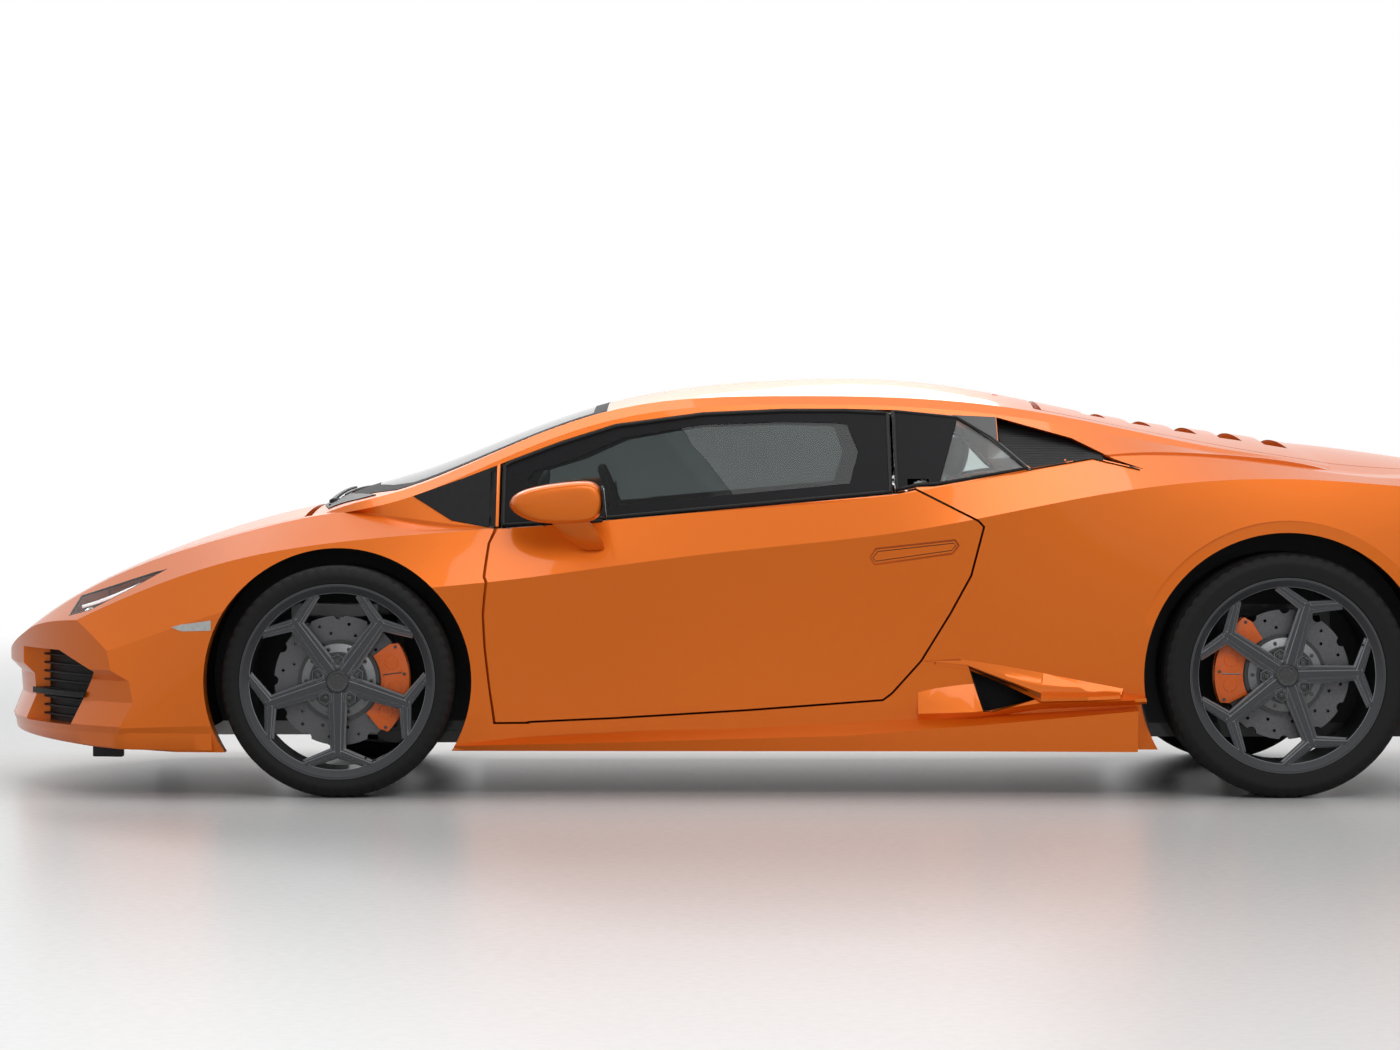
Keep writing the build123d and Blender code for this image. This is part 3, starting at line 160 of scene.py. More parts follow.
def pattern_group(name, pattern):
    """A group that gives out a pattern's mask, and a normal that is bumped by it."""
    group, given, out = new_group(
        name, ("Scale", "Bump", "Depth"), {"Mask": "Float", "Normal": "Vector"})
    mask = pattern(group, given.outputs["Scale"])
    bump = add_node(group, "Bump", Strength=given.outputs["Bump"],
                    Distance=given.outputs["Depth"], Height=mask)
    feed(group, out.inputs["Mask"], mask)
    feed(group, out.inputs["Normal"], bump.outputs["Normal"])
    return group


# %% Groups for the rims
# The rims get a painted highlight on their bevels, picked by how each face turns from the axle, and
# another on their very edge, picked by the radius.
BEVEL_FACING, BEVEL_SPREAD, BEVEL_SHARPNESS = 0.72, 0.22, 14.0  # of the normal along the axle
RING_RADIUS, EDGE_HIGHLIGHT_RADIUS, RING_SHARPNESS = 0.244, 0.2685, 600.0


def make_bevel_highlight_group():
    """A mask for a painted highlight on the faces that neither face along the axle nor lie across
    it: the bevels.
    """
    group, _, out = new_group("Bevel highlight", (), {"Mask": "Float"})
    facing = math_node(group, "ABSOLUTE", split_coordinates(group, "Normal")["Y"])
    off = math_node(group, "ABSOLUTE", math_node(group, "SUBTRACT", facing, BEVEL_FACING))
    near = math_node(group, "SUBTRACT", BEVEL_SPREAD, off)
    feed(group, out.inputs["Mask"], clamped(group, near, BEVEL_SHARPNESS))
    return group


def make_ring_group():
    """Masks for the ring outside a radius about a wheel's axle, and for a painted highlight on the
    rim's very edge.
    """
    group, given, out = new_group(
        "Rim ring", ("Hub X", "Hub Z"), {"Ring": "Float", "Edge highlight": "Float"})
    parts, squares = split_coordinates(group), []
    for axis in "XZ":
        away = math_node(group, "SUBTRACT", parts[axis], given.outputs[f"Hub {axis}"])
        squares.append(math_node(group, "POWER", math_node(group, "ABSOLUTE", away), 2.0))
    radius = math_node(group, "SQRT", math_node(group, "ADD", *squares))
    for socket, start in (("Ring", RING_RADIUS), ("Edge highlight", EDGE_HIGHLIGHT_RADIUS)):
        beyond = math_node(group, "SUBTRACT", radius, start)
        feed(group, out.inputs[socket], clamped(group, beyond, RING_SHARPNESS))
    return group


SPECKLE = pattern_group("Speckle", speckle_pattern)
GRAIN = pattern_group("Grain", grain_pattern)
OPENINGS = pattern_group("Openings", opening_pattern)
BEVEL_HIGHLIGHT = make_bevel_highlight_group()
RING = make_ring_group()
print("groups", [group.name for group in bpy.data.node_groups])


# %% Material helpers
def new_material(name, base, **settings):
    """A Principled material; settings are socket names with _ for spaces."""
    material = bpy.data.materials.new(name)
    material.use_nodes = True
    shader = material.node_tree.nodes["Principled BSDF"]
    shader.inputs["Base Color"].default_value = (*base, 1.0)
    for socket, value in settings.items():
        shader.inputs[socket.replace("_", " ")].default_value = value
    return material


def feed_shader(material, socket, source):
    tree = material.node_tree
    feed(tree, tree.nodes["Principled BSDF"].inputs[socket], source)


def two_tone(material, mask, dark, light, positions=(0.0, 1.0)):
    """Base colour from dark to light by a mask."""
    ramp = add_node(material.node_tree, "ValToRGB", Fac=mask)
    for stop, position, colour in zip(ramp.color_ramp.elements, positions, (dark, light)):
        stop.position = position
        stop.color = (*colour, 1.0)
    feed_shader(material, "Base Color", ramp.outputs["Color"])
    return material


def patterned(group, positions, name, dark, light, scale, bump, depth, **settings):
    """A material mottled between two colours by a shared pattern, and bumped by it."""
    middle = [(low + high) / 2 for low, high in zip(dark, light)]
    material = new_material(name, middle, **settings)
    pattern = add_node(material.node_tree, "Group", {"node_tree": group}, Scale=scale, Bump=bump,
                       Depth=depth)
    if bump:
        feed_shader(material, "Normal", pattern.outputs["Normal"])
    return two_tone(material, pattern.outputs["Mask"], dark, light, positions)


def speckled(name, dark, light, scale, bump, depth, **settings):
    return patterned(SPECKLE, (0.35, 0.65), name, dark, light, scale, bump, depth, **settings)


def grained(name, dark, light, scale, bump, depth, **settings):
    return patterned(GRAIN, (0.0, 1.0), name, dark, light, scale, bump, depth, **settings)


# %% [markdown]
# ## Paint, glass, rubber and metal
#
# Each finish has a dark and a light colour, the scale of its grain, and the strength and
# depth of the bump that goes with it. Clear materials have no bump.

# %% Body materials
PAINT = speckled(
    "orange_paint", (0.68, 0.134, 0.006), (0.80, 0.176, 0.010), 2600, 0.02, 0.0002,
    Metallic=0.35, Roughness=0.34, Specular_IOR_Level=0.15, Coat_Weight=0.5,
    Coat_Roughness=0.03, Coat_IOR=1.35)
BLACK_TRIM = speckled("black_trim", (0.006, 0.006, 0.007), (0.012, 0.012, 0.013), 900, 0.15,
                      0.0006, Roughness=0.45, Specular_IOR_Level=0.25)
GLOSS_BLACK = speckled("gloss_black", (0.003, 0.003, 0.004), (0.006, 0.006, 0.007), 60, 0.01,
                       0.0001, Roughness=0.12, Specular_IOR_Level=0.25)
PRINT_BLACK = speckled("printed_border", (0.003, 0.003, 0.004), (0.006, 0.006, 0.007), 300, 0.02,
                       0.0001, Roughness=0.6, Specular_IOR_Level=0.08)
SEAL_RUBBER = speckled("seal_rubber", (0.007, 0.007, 0.007), (0.014, 0.014, 0.014), 1200, 0.2,
                       0.0003, Roughness=0.65, Specular_IOR_Level=0.2)
MESH_BLACK = patterned(
    OPENINGS, (0.0, 1.0), "black_mesh", (0.002, 0.002, 0.002), (0.012, 0.012, 0.013), 36, 1.0,
    0.003, Roughness=0.55, Specular_IOR_Level=0.15)
CARBON = speckled("carbon_tub", (0.010, 0.010, 0.011), (0.022, 0.022, 0.024), 500, 0.1, 0.0006,
                  Roughness=0.45, Coat_Weight=0.3)
PLATE_WHITE = speckled("plate_white", (0.66, 0.66, 0.64), (0.76, 0.76, 0.74), 300, 0.05, 0.0003,
                       Roughness=0.4)
print("body materials ready")


# %% Glass and lamp materials
def clear(name, dark, light, scale, ior):
    return speckled(name, dark, light, scale, 0.0, 0.001, Roughness=0.0,
                    Transmission_Weight=1.0, IOR=ior)


GLASS = clear("tinted_glass", (0.18, 0.21, 0.205), (0.22, 0.25, 0.245), 1.5, 1.25)
PALE_GLASS = clear("pale_glass", (0.60, 0.66, 0.65), (0.64, 0.70, 0.69), 1.5, 1.25)
CLEAR_COVER = clear("clear_cover", (0.88, 0.90, 0.91), (0.93, 0.95, 0.96), 6.0, 1.08)
PROJECTOR_GLASS = speckled("projector_glass", (0.45, 0.50, 0.58), (0.85, 0.89, 0.93), 120, 0.05,
                           0.0002, Roughness=0.02, Coat_Weight=1.0, Metallic=0.3)
LAMP_BLACK = speckled("lamp_black", (0.008, 0.008, 0.009), (0.02, 0.02, 0.022), 260, 0.08, 0.0004,
                      Roughness=0.25, Coat_Weight=0.3)
LIGHT_BAR = speckled("light_bar", (0.70, 0.74, 0.78), (0.93, 0.95, 0.96), 220, 0.1, 0.0003,
                     Roughness=0.15, Coat_Weight=1.0, Emission_Strength=0.5)
MARKER_LENS = speckled("marker_lens", (0.42, 0.44, 0.43), (0.50, 0.52, 0.51), 90, 0.1, 0.0004,
                       Roughness=0.12, Coat_Weight=1.0)
RED_LAMP = speckled("red_lamp", (0.22, 0.003, 0.003), (0.45, 0.012, 0.010), 160, 0.2, 0.001,
                    Roughness=0.08, Coat_Weight=1.0)
RED_GLOW = speckled("red_light_line", (0.70, 0.012, 0.010), (0.90, 0.035, 0.028), 160, 0.2, 0.0005,
                    Roughness=0.2, Coat_Weight=1.0, Emission_Strength=0.35,
                    Emission_Color=(1, 0.03, 0.02, 1))
MIRROR_SILVER = speckled("mirror_silver", (0.78, 0.80, 0.82), (0.82, 0.84, 0.86), 20, 0.003,
                         0.0001, Metallic=1.0, Roughness=0.02)
SCREEN_GLASS = speckled("screen_glass", (0.010, 0.012, 0.016), (0.016, 0.019, 0.024), 30, 0.005,
                        0.0001, Roughness=0.06, Coat_Weight=1.0)
print("glass and lamp materials ready")


# %% Running gear and cabin materials
def rim_finish(place):
    """Graphite with a painted highlight on the bevels, plain dark on the ring behind the spokes'
    ends, and a painted highlight on the rim's very edge.
    """
    material = new_material(f"graphite_{place}_rim", (0.06, 0.064, 0.070), Metallic=0.7,
                            Roughness=0.36, Coat_Weight=0.25)
    tree, hub = material.node_tree, HUBS[f"{place}_left"]
    speckle = add_node(tree, "Group", {"node_tree": SPECKLE}, Scale=1800, Bump=0.03, Depth=0.0002)
    feed_shader(material, "Normal", speckle.outputs["Normal"])
    bevel_highlight = add_node(tree, "Group", {"node_tree": BEVEL_HIGHLIGHT})
    ring = add_node(tree, "Group", {"node_tree": RING}, Hub_X=hub.x, Hub_Z=hub.z)
    # Painted highlights: on the bevels outside the ring, and on the rim's very edge at a little
    # over half strength.
    spokes = math_node(tree, "SUBTRACT", bevel_highlight.outputs["Mask"], ring.outputs["Ring"])
    edge = math_node(tree, "MULTIPLY", ring.outputs["Edge highlight"], 0.55)
    return two_tone(material, math_node(tree, "MAXIMUM", spokes, edge),
                    (0.046, 0.048, 0.053), (0.33, 0.345, 0.365))


RUBBER = speckled("tyre_rubber", (0.005, 0.005, 0.005), (0.011, 0.011, 0.011), 700, 0.25, 0.0006,
                  Roughness=0.65, Specular_IOR_Level=0.2)
CAP_BLACK = speckled("cap_black", (0.022, 0.022, 0.024), (0.042, 0.042, 0.045), 300, 0.04, 0.0002,
                     Metallic=0.4, Roughness=0.25, Coat_Weight=0.6)
CHROME = speckled("chrome", (0.68, 0.68, 0.69), (0.76, 0.76, 0.77), 200, 0.01, 0.0002,
                  Metallic=1.0, Roughness=0.07)
DISC_IRON = speckled("brake_disc", (0.075, 0.075, 0.08), (0.13, 0.13, 0.135), 600, 0.1, 0.0004,
                     Metallic=0.85, Roughness=0.42)
HAT_METAL = speckled("disc_hat", (0.12, 0.123, 0.127), (0.20, 0.205, 0.21), 500, 0.15, 0.0004,
                     Metallic=0.8, Roughness=0.4)
CALIPER = speckled("caliper_paint", (0.64, 0.10, 0.006), (0.78, 0.14, 0.012), 500, 0.1, 0.0005,
                   Roughness=0.35, Coat_Weight=0.4, Specular_IOR_Level=0.2)
ALUMINIUM = speckled("cast_aluminium", (0.33, 0.33, 0.34), (0.48, 0.48, 0.49), 450, 0.3, 0.0006,
                     Metallic=0.9, Roughness=0.45)
STEEL = speckled("exhaust_steel", (0.36, 0.34, 0.33), (0.52, 0.51, 0.50), 400, 0.1, 0.0004,
                 Metallic=1.0, Roughness=0.22)
COVER_CRACKLE = speckled("crackle_cover", (0.03, 0.03, 0.032), (0.08, 0.08, 0.083), 260, 0.8,
                         0.0015, Roughness=0.5)
LEATHER = grained("black_leather", (0.008, 0.008, 0.009), (0.024, 0.024, 0.026), 380, 0.5, 0.0006,
                  Roughness=0.5, Sheen_Weight=0.1)
STITCH = speckled("stitch_thread", (0.55, 0.12, 0.012), (0.80, 0.22, 0.03), 1500, 0.5, 0.0004,
                  Roughness=0.7)
SOFT_PLASTIC = grained("soft_plastic", (0.011, 0.011, 0.012), (0.022, 0.022, 0.023), 620, 0.3,
                       0.0004, Roughness=0.6)
print("running gear and cabin materials ready")

# %% Dress the carried nodes
FINISHES = [
    (PAINT, ["front_bumper", "front_wings", "roof", "rear_quarters", "rear_bumper", "sills",
             "front_lid", "engine_cover", "left_door", "right_door", "left_mirror",
             "right_mirror"]),
    (BLACK_TRIM, ["diffuser", "wheel_liners"]),
    (MESH_BLACK, ["front_grilles", "rear_mesh"]),
    (CARBON, ["tub"]),
    (GLASS, ["windscreen", "left_door_glass", "right_door_glass"]),
    (PALE_GLASS, ["quarter_windows"]),
    (CLEAR_COVER, ["headlamps"]),
    (RED_LAMP, ["tail_lamps"]),
    (CALIPER, ["front_left_caliper", "front_right_caliper", "rear_calipers"]),
    (ALUMINIUM, ["engine", "front_arms", "rear_suspension", "left_knuckle", "right_knuckle",
                 "front_frame"]),
    (STEEL, ["exhausts"]),
    (LEATHER, ["seats"]),
    (SOFT_PLASTIC, ["dashboard", "steering_wheel"]),
    (RUBBER, [f"{wheel}_tyre" for wheel in HUBS]),
    (rim_finish("front"), ["front_left_rim", "front_right_rim"]),
    (rim_finish("rear"), ["rear_left_rim", "rear_right_rim"]),
    (DISC_IRON, [f"{wheel}_brake_disc" for wheel in HUBS]),
]
for material, nodes in FINISHES:
    for node in nodes:
        mesh = frame["nodes"][node].data
        mesh.materials.clear()
        mesh.materials.append(material)
print("dressed", sum(len(nodes) for _, nodes in FINISHES), "nodes")
# %% [markdown]
# ## Mesh helpers
#
# Trims, seals and lenses lie on the car's curved skin. Each is drawn as a flat outline,
# cut into small cells, and dropped onto the skin with rays, so that it follows the real
# surface everywhere. Turned parts, such as tyres and lamp bowls, are spun from a profile.

# %% Finish a mesh
def new_piece(name, mesh):
    piece = bpy.data.objects.new(name, mesh)
    bpy.context.collection.objects.link(piece)
    return piece


def raw_piece(name, vertices, faces):
    """A piece from plain lists, with no finish yet."""
    mesh = bpy.data.meshes.new(name)
    mesh.from_pydata([tuple(v) for v in vertices], [], faces)
    mesh.validate()
    return new_piece(name, mesh)


def finish_piece(piece, material, body, sharp=35.0):
    """Outward normals, smooth shading with sharp corners, a material and a body."""
    shape = bmesh.new()
    shape.from_mesh(piece.data)
    bmesh.ops.remove_doubles(shape, verts=shape.verts, dist=1e-6)
    bmesh.ops.recalc_face_normals(shape, faces=shape.faces)
    shape.to_mesh(piece.data)
    shape.free()
    piece.data.polygons.foreach_set("use_smooth", [True] * len(piece.data.polygons))
    piece.data.set_sharp_from_angle(angle=math.radians(sharp))
    piece.data.materials.clear()
    piece.data.materials.append(material)
    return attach(piece, body)


def mesh_piece(name, vertices, faces, material, body, sharp=35.0):
    return finish_piece(raw_piece(name, vertices, faces), material, body, sharp)


def ring_faces(rings, count, closed=False):
    """Quads between rings of points that follow one another in a single list."""
    faces = []
    for ring in range(rings if closed else rings - 1):
        here, there = ring * count, (ring + 1) % rings * count
        for index in range(count):
            after = (index + 1) % count
            faces.append([here + index, here + after, there + after, there + index])
    return faces


# %% Rays onto the skin
def skin_of(*nodes):
    """One search tree over the named CAD nodes."""
    vertices, faces = [], []
    for node in nodes:
        mesh = frame["nodes"][node].data
        start = len(vertices)
        vertices.extend(v.co.copy() for v in mesh.vertices)
        faces.extend([start + i for i in face.vertices] for face in mesh.polygons)
    return BVHTree.FromPolygons(vertices, faces)


DROPS = {  # outline coordinates (a, b) to a ray's start and direction
    "left": (lambda a, b: Vector((a, 1.5, b)), Vector((0, -1, 0))),
    "right": (lambda a, b: Vector((a, -1.5, b)), Vector((0, 1, 0))),
    "top": (lambda a, b: Vector((a, b, 1.6)), Vector((0, 0, -1))),
    "rear": (lambda a, b: Vector((-2.6, a, b)), Vector((1, 0, 0))),
    "left_inner": (lambda a, b: Vector((a, 0.45, b)), Vector((0, 1, 0))),
    "right_inner": (lambda a, b: Vector((a, -0.45, b)), Vector((0, -1, 0))),
}


def between(start, end, part):
    """The place part of the way from start to end."""
    return tuple(a + part * (b - a) for a, b in zip(start, end))


def drop(tree, view, a, b, lift=0.0):
    """The skin's point and outward normal under one outline point, or the nearest past its edge."""
    start, way = DROPS[view]
    origin = start(a, b)
    place, normal, _, _ = tree.ray_cast(origin, way)
    if place is None:
        place, normal, _, _ = tree.find_nearest(origin + way * 0.8)
    if normal.dot(way) > 0:
        normal = -normal
    return place + normal * lift, normal


# %% Patches and lines on the skin
def cut_outline(outline, cell):
    """A flat outline filled with triangles and cut along a grid, as (points, faces)."""
    shape = bmesh.new()
    corners = [shape.verts.new((a, b, 0.0)) for a, b in outline]
    shape.faces.new(corners)
    bmesh.ops.triangulate(shape, faces=shape.faces[:])
    for axis in (0, 1):
        low = min(point[axis] for point in outline)
        high = max(point[axis] for point in outline)
        normal = (1.0, 0.0, 0.0) if axis == 0 else (0.0, 1.0, 0.0)
        for step in range(1, int((high - low) / cell) + 1):
            at = low + step * cell
            place = (at, 0.0, 0.0) if axis == 0 else (0.0, at, 0.0)
            everything = shape.verts[:] + shape.edges[:] + shape.faces[:]
            bmesh.ops.bisect_plane(shape, geom=everything, plane_co=place, plane_no=normal)
    bmesh.ops.remove_doubles(shape, verts=shape.verts, dist=1e-5)
    shape.verts.index_update()
    points = [(v.co.x, v.co.y) for v in shape.verts]
    faces = [[v.index for v in face.verts] for face in shape.faces]
    shape.free()
    return points, faces


def skin_patch(name, outline, tree, view, material, body, lift=0.001, thick=0.003, cell=0.03):
    """A thin plate that follows the skin within an outline in millimetres."""
    points, faces = cut_outline([(a / 1000, b / 1000) for a, b in outline], cell)
    edges = dict.fromkeys(pair for face in faces for pair in zip(face, face[1:] + face[:1]))
    top, bottom = [], []
    for a, b in points:
        place, normal = drop(tree, view, a, b)
        top.append(place + normal * lift)
        bottom.append(place + normal * (lift - thick))
    count = len(points)
    walls = [[a, b, b + count, a + count] for a, b in edges if (b, a) not in edges]
    under = [[i + count for i in reversed(face)] for face in faces]
    return mesh_piece(name, top + bottom, faces + under + walls, material, body)


def skin_line(name, line, tree, view, material, body, lift=0.002, radius=0.004, closed=False,
              step=0.02):
    """A round bead along a line on the skin, given in millimetres."""
    line = [(a / 1000, b / 1000) for a, b in line]
    if closed:
        line = line + line[:1]
    places = []
    for start, end in zip(line, line[1:]):
        count = max(1, int(math.dist(start, end) / step))
        for index in range(count):
            places.append(drop(tree, view, *between(start, end, index / count), lift)[0])
    if not closed:
        places.append(drop(tree, view, *line[-1], lift)[0])
    return bead(name, places, radius, material, body, closed)


def bead(name, places, radius, material, body, closed=False, sides=8):
    """A round bead through a list of points, made as a mesh tube."""
    vertices, count, side = [], len(places), None
    for index, place in enumerate(places):
        before = places[index - 1] if index or closed else place
        after = places[(index + 1) % count] if index < count - 1 or closed else place
        way = (Vector(after) - Vector(before)).normalized()
        side = side or way.orthogonal()
        side = (side - way * side.dot(way)).normalized()
        other = way.cross(side)
        size = radius[index] if isinstance(radius, list) else radius
        for turn in range(sides):
            angle = 2 * math.pi * turn / sides
            around = math.cos(angle) * side + math.sin(angle) * other
            vertices.append(Vector(place) + size * around)
    faces = ring_faces(count, sides, closed)
    if not closed:
        faces.append(list(range(sides)))
        faces.append(list(range(len(vertices) - sides, len(vertices))))
    return mesh_piece(name, vertices, faces, material, body, sharp=50.0)


# %% Turned parts and plates
def spin_profile(profile, centre, axis, start, segments):
    """Vertices and faces of a closed (distance, radius) profile spun about an axis."""
    axis, start = Vector(axis).normalized(), Vector(start).normalized()
    other = axis.cross(start)
    vertices = []
    for turn in range(segments):
        angle = 2 * math.pi * turn / segments
        out = math.cos(angle) * start + math.sin(angle) * other
        vertices.extend(Vector(centre) + axis * y + out * radius for y, radius in profile)
    return vertices, ring_faces(segments, len(profile), closed=True)


def turned_piece(name, profile, centre, axis, material, body, segments=48, start=(0, 0, 1)):
    vertices, faces = spin_profile(profile, centre, axis, start, segments)
    return mesh_piece(name, vertices, faces, material, body)


def plate_piece(name, outline, lift, material, body, bevel=0.0015, place=None):
    """A flat outline (metres, in a plane) pulled up to a thickness, with eased edges.

    place turns (a, b, height) into a point of the frame.
    """
    place = place or (lambda a, b, c: (a, b, c))
    shape = bmesh.new()
    low, high = lift
    corners = [shape.verts.new((a, b, low)) for a, b in outline]
    face = shape.faces.new(corners)
    pulled = bmesh.ops.extrude_face_region(shape, geom=[face])["geom"]
    for vertex in pulled:
        if isinstance(vertex, bmesh.types.BMVert):
            vertex.co.z = high
    if bevel:
        bmesh.ops.bevel(
            shape, geom=shape.edges[:], offset=bevel, segments=2, profile=0.6, affect="EDGES"
        )
    for vertex in shape.verts:
        vertex.co = place(*vertex.co)
    mesh = bpy.data.meshes.new(name)
    shape.to_mesh(mesh)
    shape.free()
    return finish_piece(new_piece(name, mesh), material, body)


def rounded_rectangle(half_width, half_height, corner, steps=5):
    points = []
    for turn, (sx, sy) in enumerate(((1, 1), (-1, 1), (-1, -1), (1, -1))):
        for step in range(steps + 1):
            angle = math.radians(90 * turn + 90 * step / steps)
            points.append((
                sx * (half_width - corner) + corner * math.cos(angle),
                sy * (half_height - corner) + corner * math.sin(angle),
            ))
    return points


print("mesh helpers ready")

# %% [markdown]
# ## Tyres
#
# A low-profile road tyre has a flat tread with grooves round it, squared shoulders with
# short cuts across them, and a sidewall that bulges and then tucks in at the rim. The
# profile is spun about the axle, and the shoulder cuts are made by sinking every third
# step of the shoulder rows, which keeps the mesh light.

# %% Tyre pieces
TREAD_STEPS, GROOVE_DEPTH, SHOULDER_CUT = 180, 0.006, 0.0045
TYRE_SIZES = {"front": (0.1225, 0.321, 0.105), "rear": (0.1525, 0.338, 0.135)}
SHOULDER_ROWS = range(8, 12)


def tyre_profile(half, radius, face):
    """The outer half of the section as (distance, radius), from the rim to the middle."""
    rows = [
        (face - 0.001, 0.2545), (face + 0.0055, 0.262), (half - 0.010, 0.268),
        (half - 0.0065, 0.2715), (half - 0.0040, 0.273), (half - 0.0030, 0.278),
        (half - 0.0012, radius - 0.036), (half - 0.0004, radius - 0.030),
        (half - 0.0010, radius - 0.024), (half - 0.0045, radius - 0.014),
        (half - 0.012, radius - 0.0050), (half - 0.021, radius - 0.0018),
        (half - 0.030, radius - 0.0006),
    ]
    for middle in (half * 0.62, half * 0.22):
        rows += [(middle + 0.0055, radius - 0.0003), (middle + 0.0045, radius - GROOVE_DEPTH),
                 (middle - 0.0045, radius - GROOVE_DEPTH), (middle - 0.0055, radius - 0.0003)]
    return rows


def tyre_piece(wheel, hub, half, radius, face):
    rows = tyre_profile(half, radius, face)
    profile = rows + [(-y, size) for y, size in reversed(rows)]
    count = len(profile)
    vertices, faces = spin_profile(profile, hub, (0, 1, 0), (0, 0, 1), TREAD_STEPS)
    for turn in range(0, TREAD_STEPS, 3):
        for row in (*SHOULDER_ROWS, *(count - 1 - row for row in SHOULDER_ROWS)):
            vertex = vertices[turn * count + row]
            centre = Vector((hub.x, vertex.y, hub.z))
            sunk = 1 - SHOULDER_CUT / profile[row][1]
            vertices[turn * count + row] = centre + (vertex - centre) * sunk
    piece = mesh_piece(f"{wheel}_tyre_tread", vertices, faces, RUBBER, f"{wheel}_wheel", 28.0)
    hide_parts(f"{wheel}_tyre")
    return piece


for wheel, place, _, hub in WHEELS:
    tyre = tyre_piece(wheel, hub, *TYRE_SIZES[place])
    print(tyre.name, len(tyre.data.polygons), "faces")


# %% [markdown]
# ## Wheel bolts, caps and valves
#
# Five hexagon bolts sit between the spoke roots of each wheel, round a plain turned cap
# with a shallow dish. A short valve stem stands near the rim.

# %% Bolt and cap pieces
BOLT_STEPS = 24
BOLT_RINGS = [(0.0, 0.0105, 24), (0.0025, 0.0105, 24), (0.0030, 0.0085, 6), (0.0115, 0.0085, 6),
              (0.0135, 0.0070, 6), (0.0140, 0.0040, 6)]  # height, radius and sides
# The black disc at the foot of each bolt is painted shade in the bolt's hole.
BOLT_HOLE_SHADE = [(0.0, 0.0), (0.0, 0.0170), (0.001, 0.0170), (0.001, 0.0)]
BOLT_COLLAR = [(-0.004, 0.0170), (-0.004, 0.0215), (0.0125, 0.0205), (0.0140, 0.0190),
               (0.0140, 0.0178), (0.0, 0.0170)]
CAP = [(0.0, 0.0), (0.0, 0.031), (0.003, 0.031), (0.0055, 0.0285), (0.0055, 0.024),
       (0.0040, 0.022), (0.0036, 0.0)]
FIRST_SPOKES = {"front": 180.0, "rear": -88.0}
BOLT_CIRCLE, BOLT_DEPTH, CAP_DEPTH = 0.056, 0.0215, 0.004


def about_axle(radius, degrees, y=0.0):
    """A step from the axle, turned from straight up towards the nose."""
    angle = math.radians(degrees)
    return Vector((radius * math.sin(angle), y, radius * math.cos(angle)))


def bolt_piece(name, centre, out, body):
    """A flanged hexagon bolt with a domed end, facing out along y."""
    vertices = []
    for height, radius, sides in BOLT_RINGS:
        for turn in range(BOLT_STEPS):
            angle = 2 * math.pi * turn / BOLT_STEPS
            reach = radius
            if sides == 6:
                wedge = (angle % (math.pi / 3)) - math.pi / 6
                reach = radius * math.cos(math.pi / 6) / math.cos(wedge)
            vertices.append(centre + Vector(
                (reach * math.sin(angle), out * height, reach * math.cos(angle))))
    faces = ring_faces(len(BOLT_RINGS), BOLT_STEPS)
    faces.append(list(range(len(vertices) - BOLT_STEPS, len(vertices))))
    faces.append(list(range(BOLT_STEPS)))
    return mesh_piece(name, vertices, faces, CAP_BLACK, body, sharp=25.0)


for wheel, place, out, hub in WHEELS:
    face = Vector((hub.x, hub.y + out * TYRE_SIZES[place][2], hub.z))
    body, way = f"{wheel}_wheel", (0, out, 0)
    for index in range(5):
        centre = face + about_axle(BOLT_CIRCLE, FIRST_SPOKES[place] + 36 + 72 * index,
                                   -out * BOLT_DEPTH)
        bolt_piece(f"{wheel}_bolt_{index}", centre, out, body)
        # a black disc of painted shade round the bolt's foot
        turned_piece(f"{wheel}_bolt_floor_{index}", BOLT_HOLE_SHADE, centre, way, LAMP_BLACK, body, 6)
        turned_piece(f"{wheel}_bolt_collar_{index}", BOLT_COLLAR, centre, way, HAT_METAL, body, 6)
    turned_piece(f"{wheel}_cap", CAP, face - Vector((0, out * CAP_DEPTH, 0)), way, CAP_BLACK, body)
    stem = [face + about_axle(radius, FIRST_SPOKES[place] + 20, -out * depth)
            for radius, depth in ((0.240, 0.030), (0.234, 0.022), (0.224, 0.008))]
    bead(f"{wheel}_valve", stem, [0.0045, 0.0038, 0.0030], BLACK_TRIM, body)
print("bolts, caps and valves on", len(WHEELS), "wheels")

# %% [markdown]
# ## Brakes
#
# Behind the spokes, each drilled disc is carried by a bell with a ring of small bolts,
# and a painted caliper reaches over the disc's edge. A caliper could be carved from a
# block; here it is drawn as a part of a ring and pulled out across the disc, with a
# bridge over the edge, three piston housings and its bolts on the outer face.

# %% Disc bells
DISC_FACE = {place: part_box(f"{place}_left_brake_disc")[1].y for place in ("front", "rear")}
BELL = [(-0.002, 0.0), (-0.002, 0.103), (0.004, 0.103), (0.0055, 0.1005), (0.0055, 0.0)]
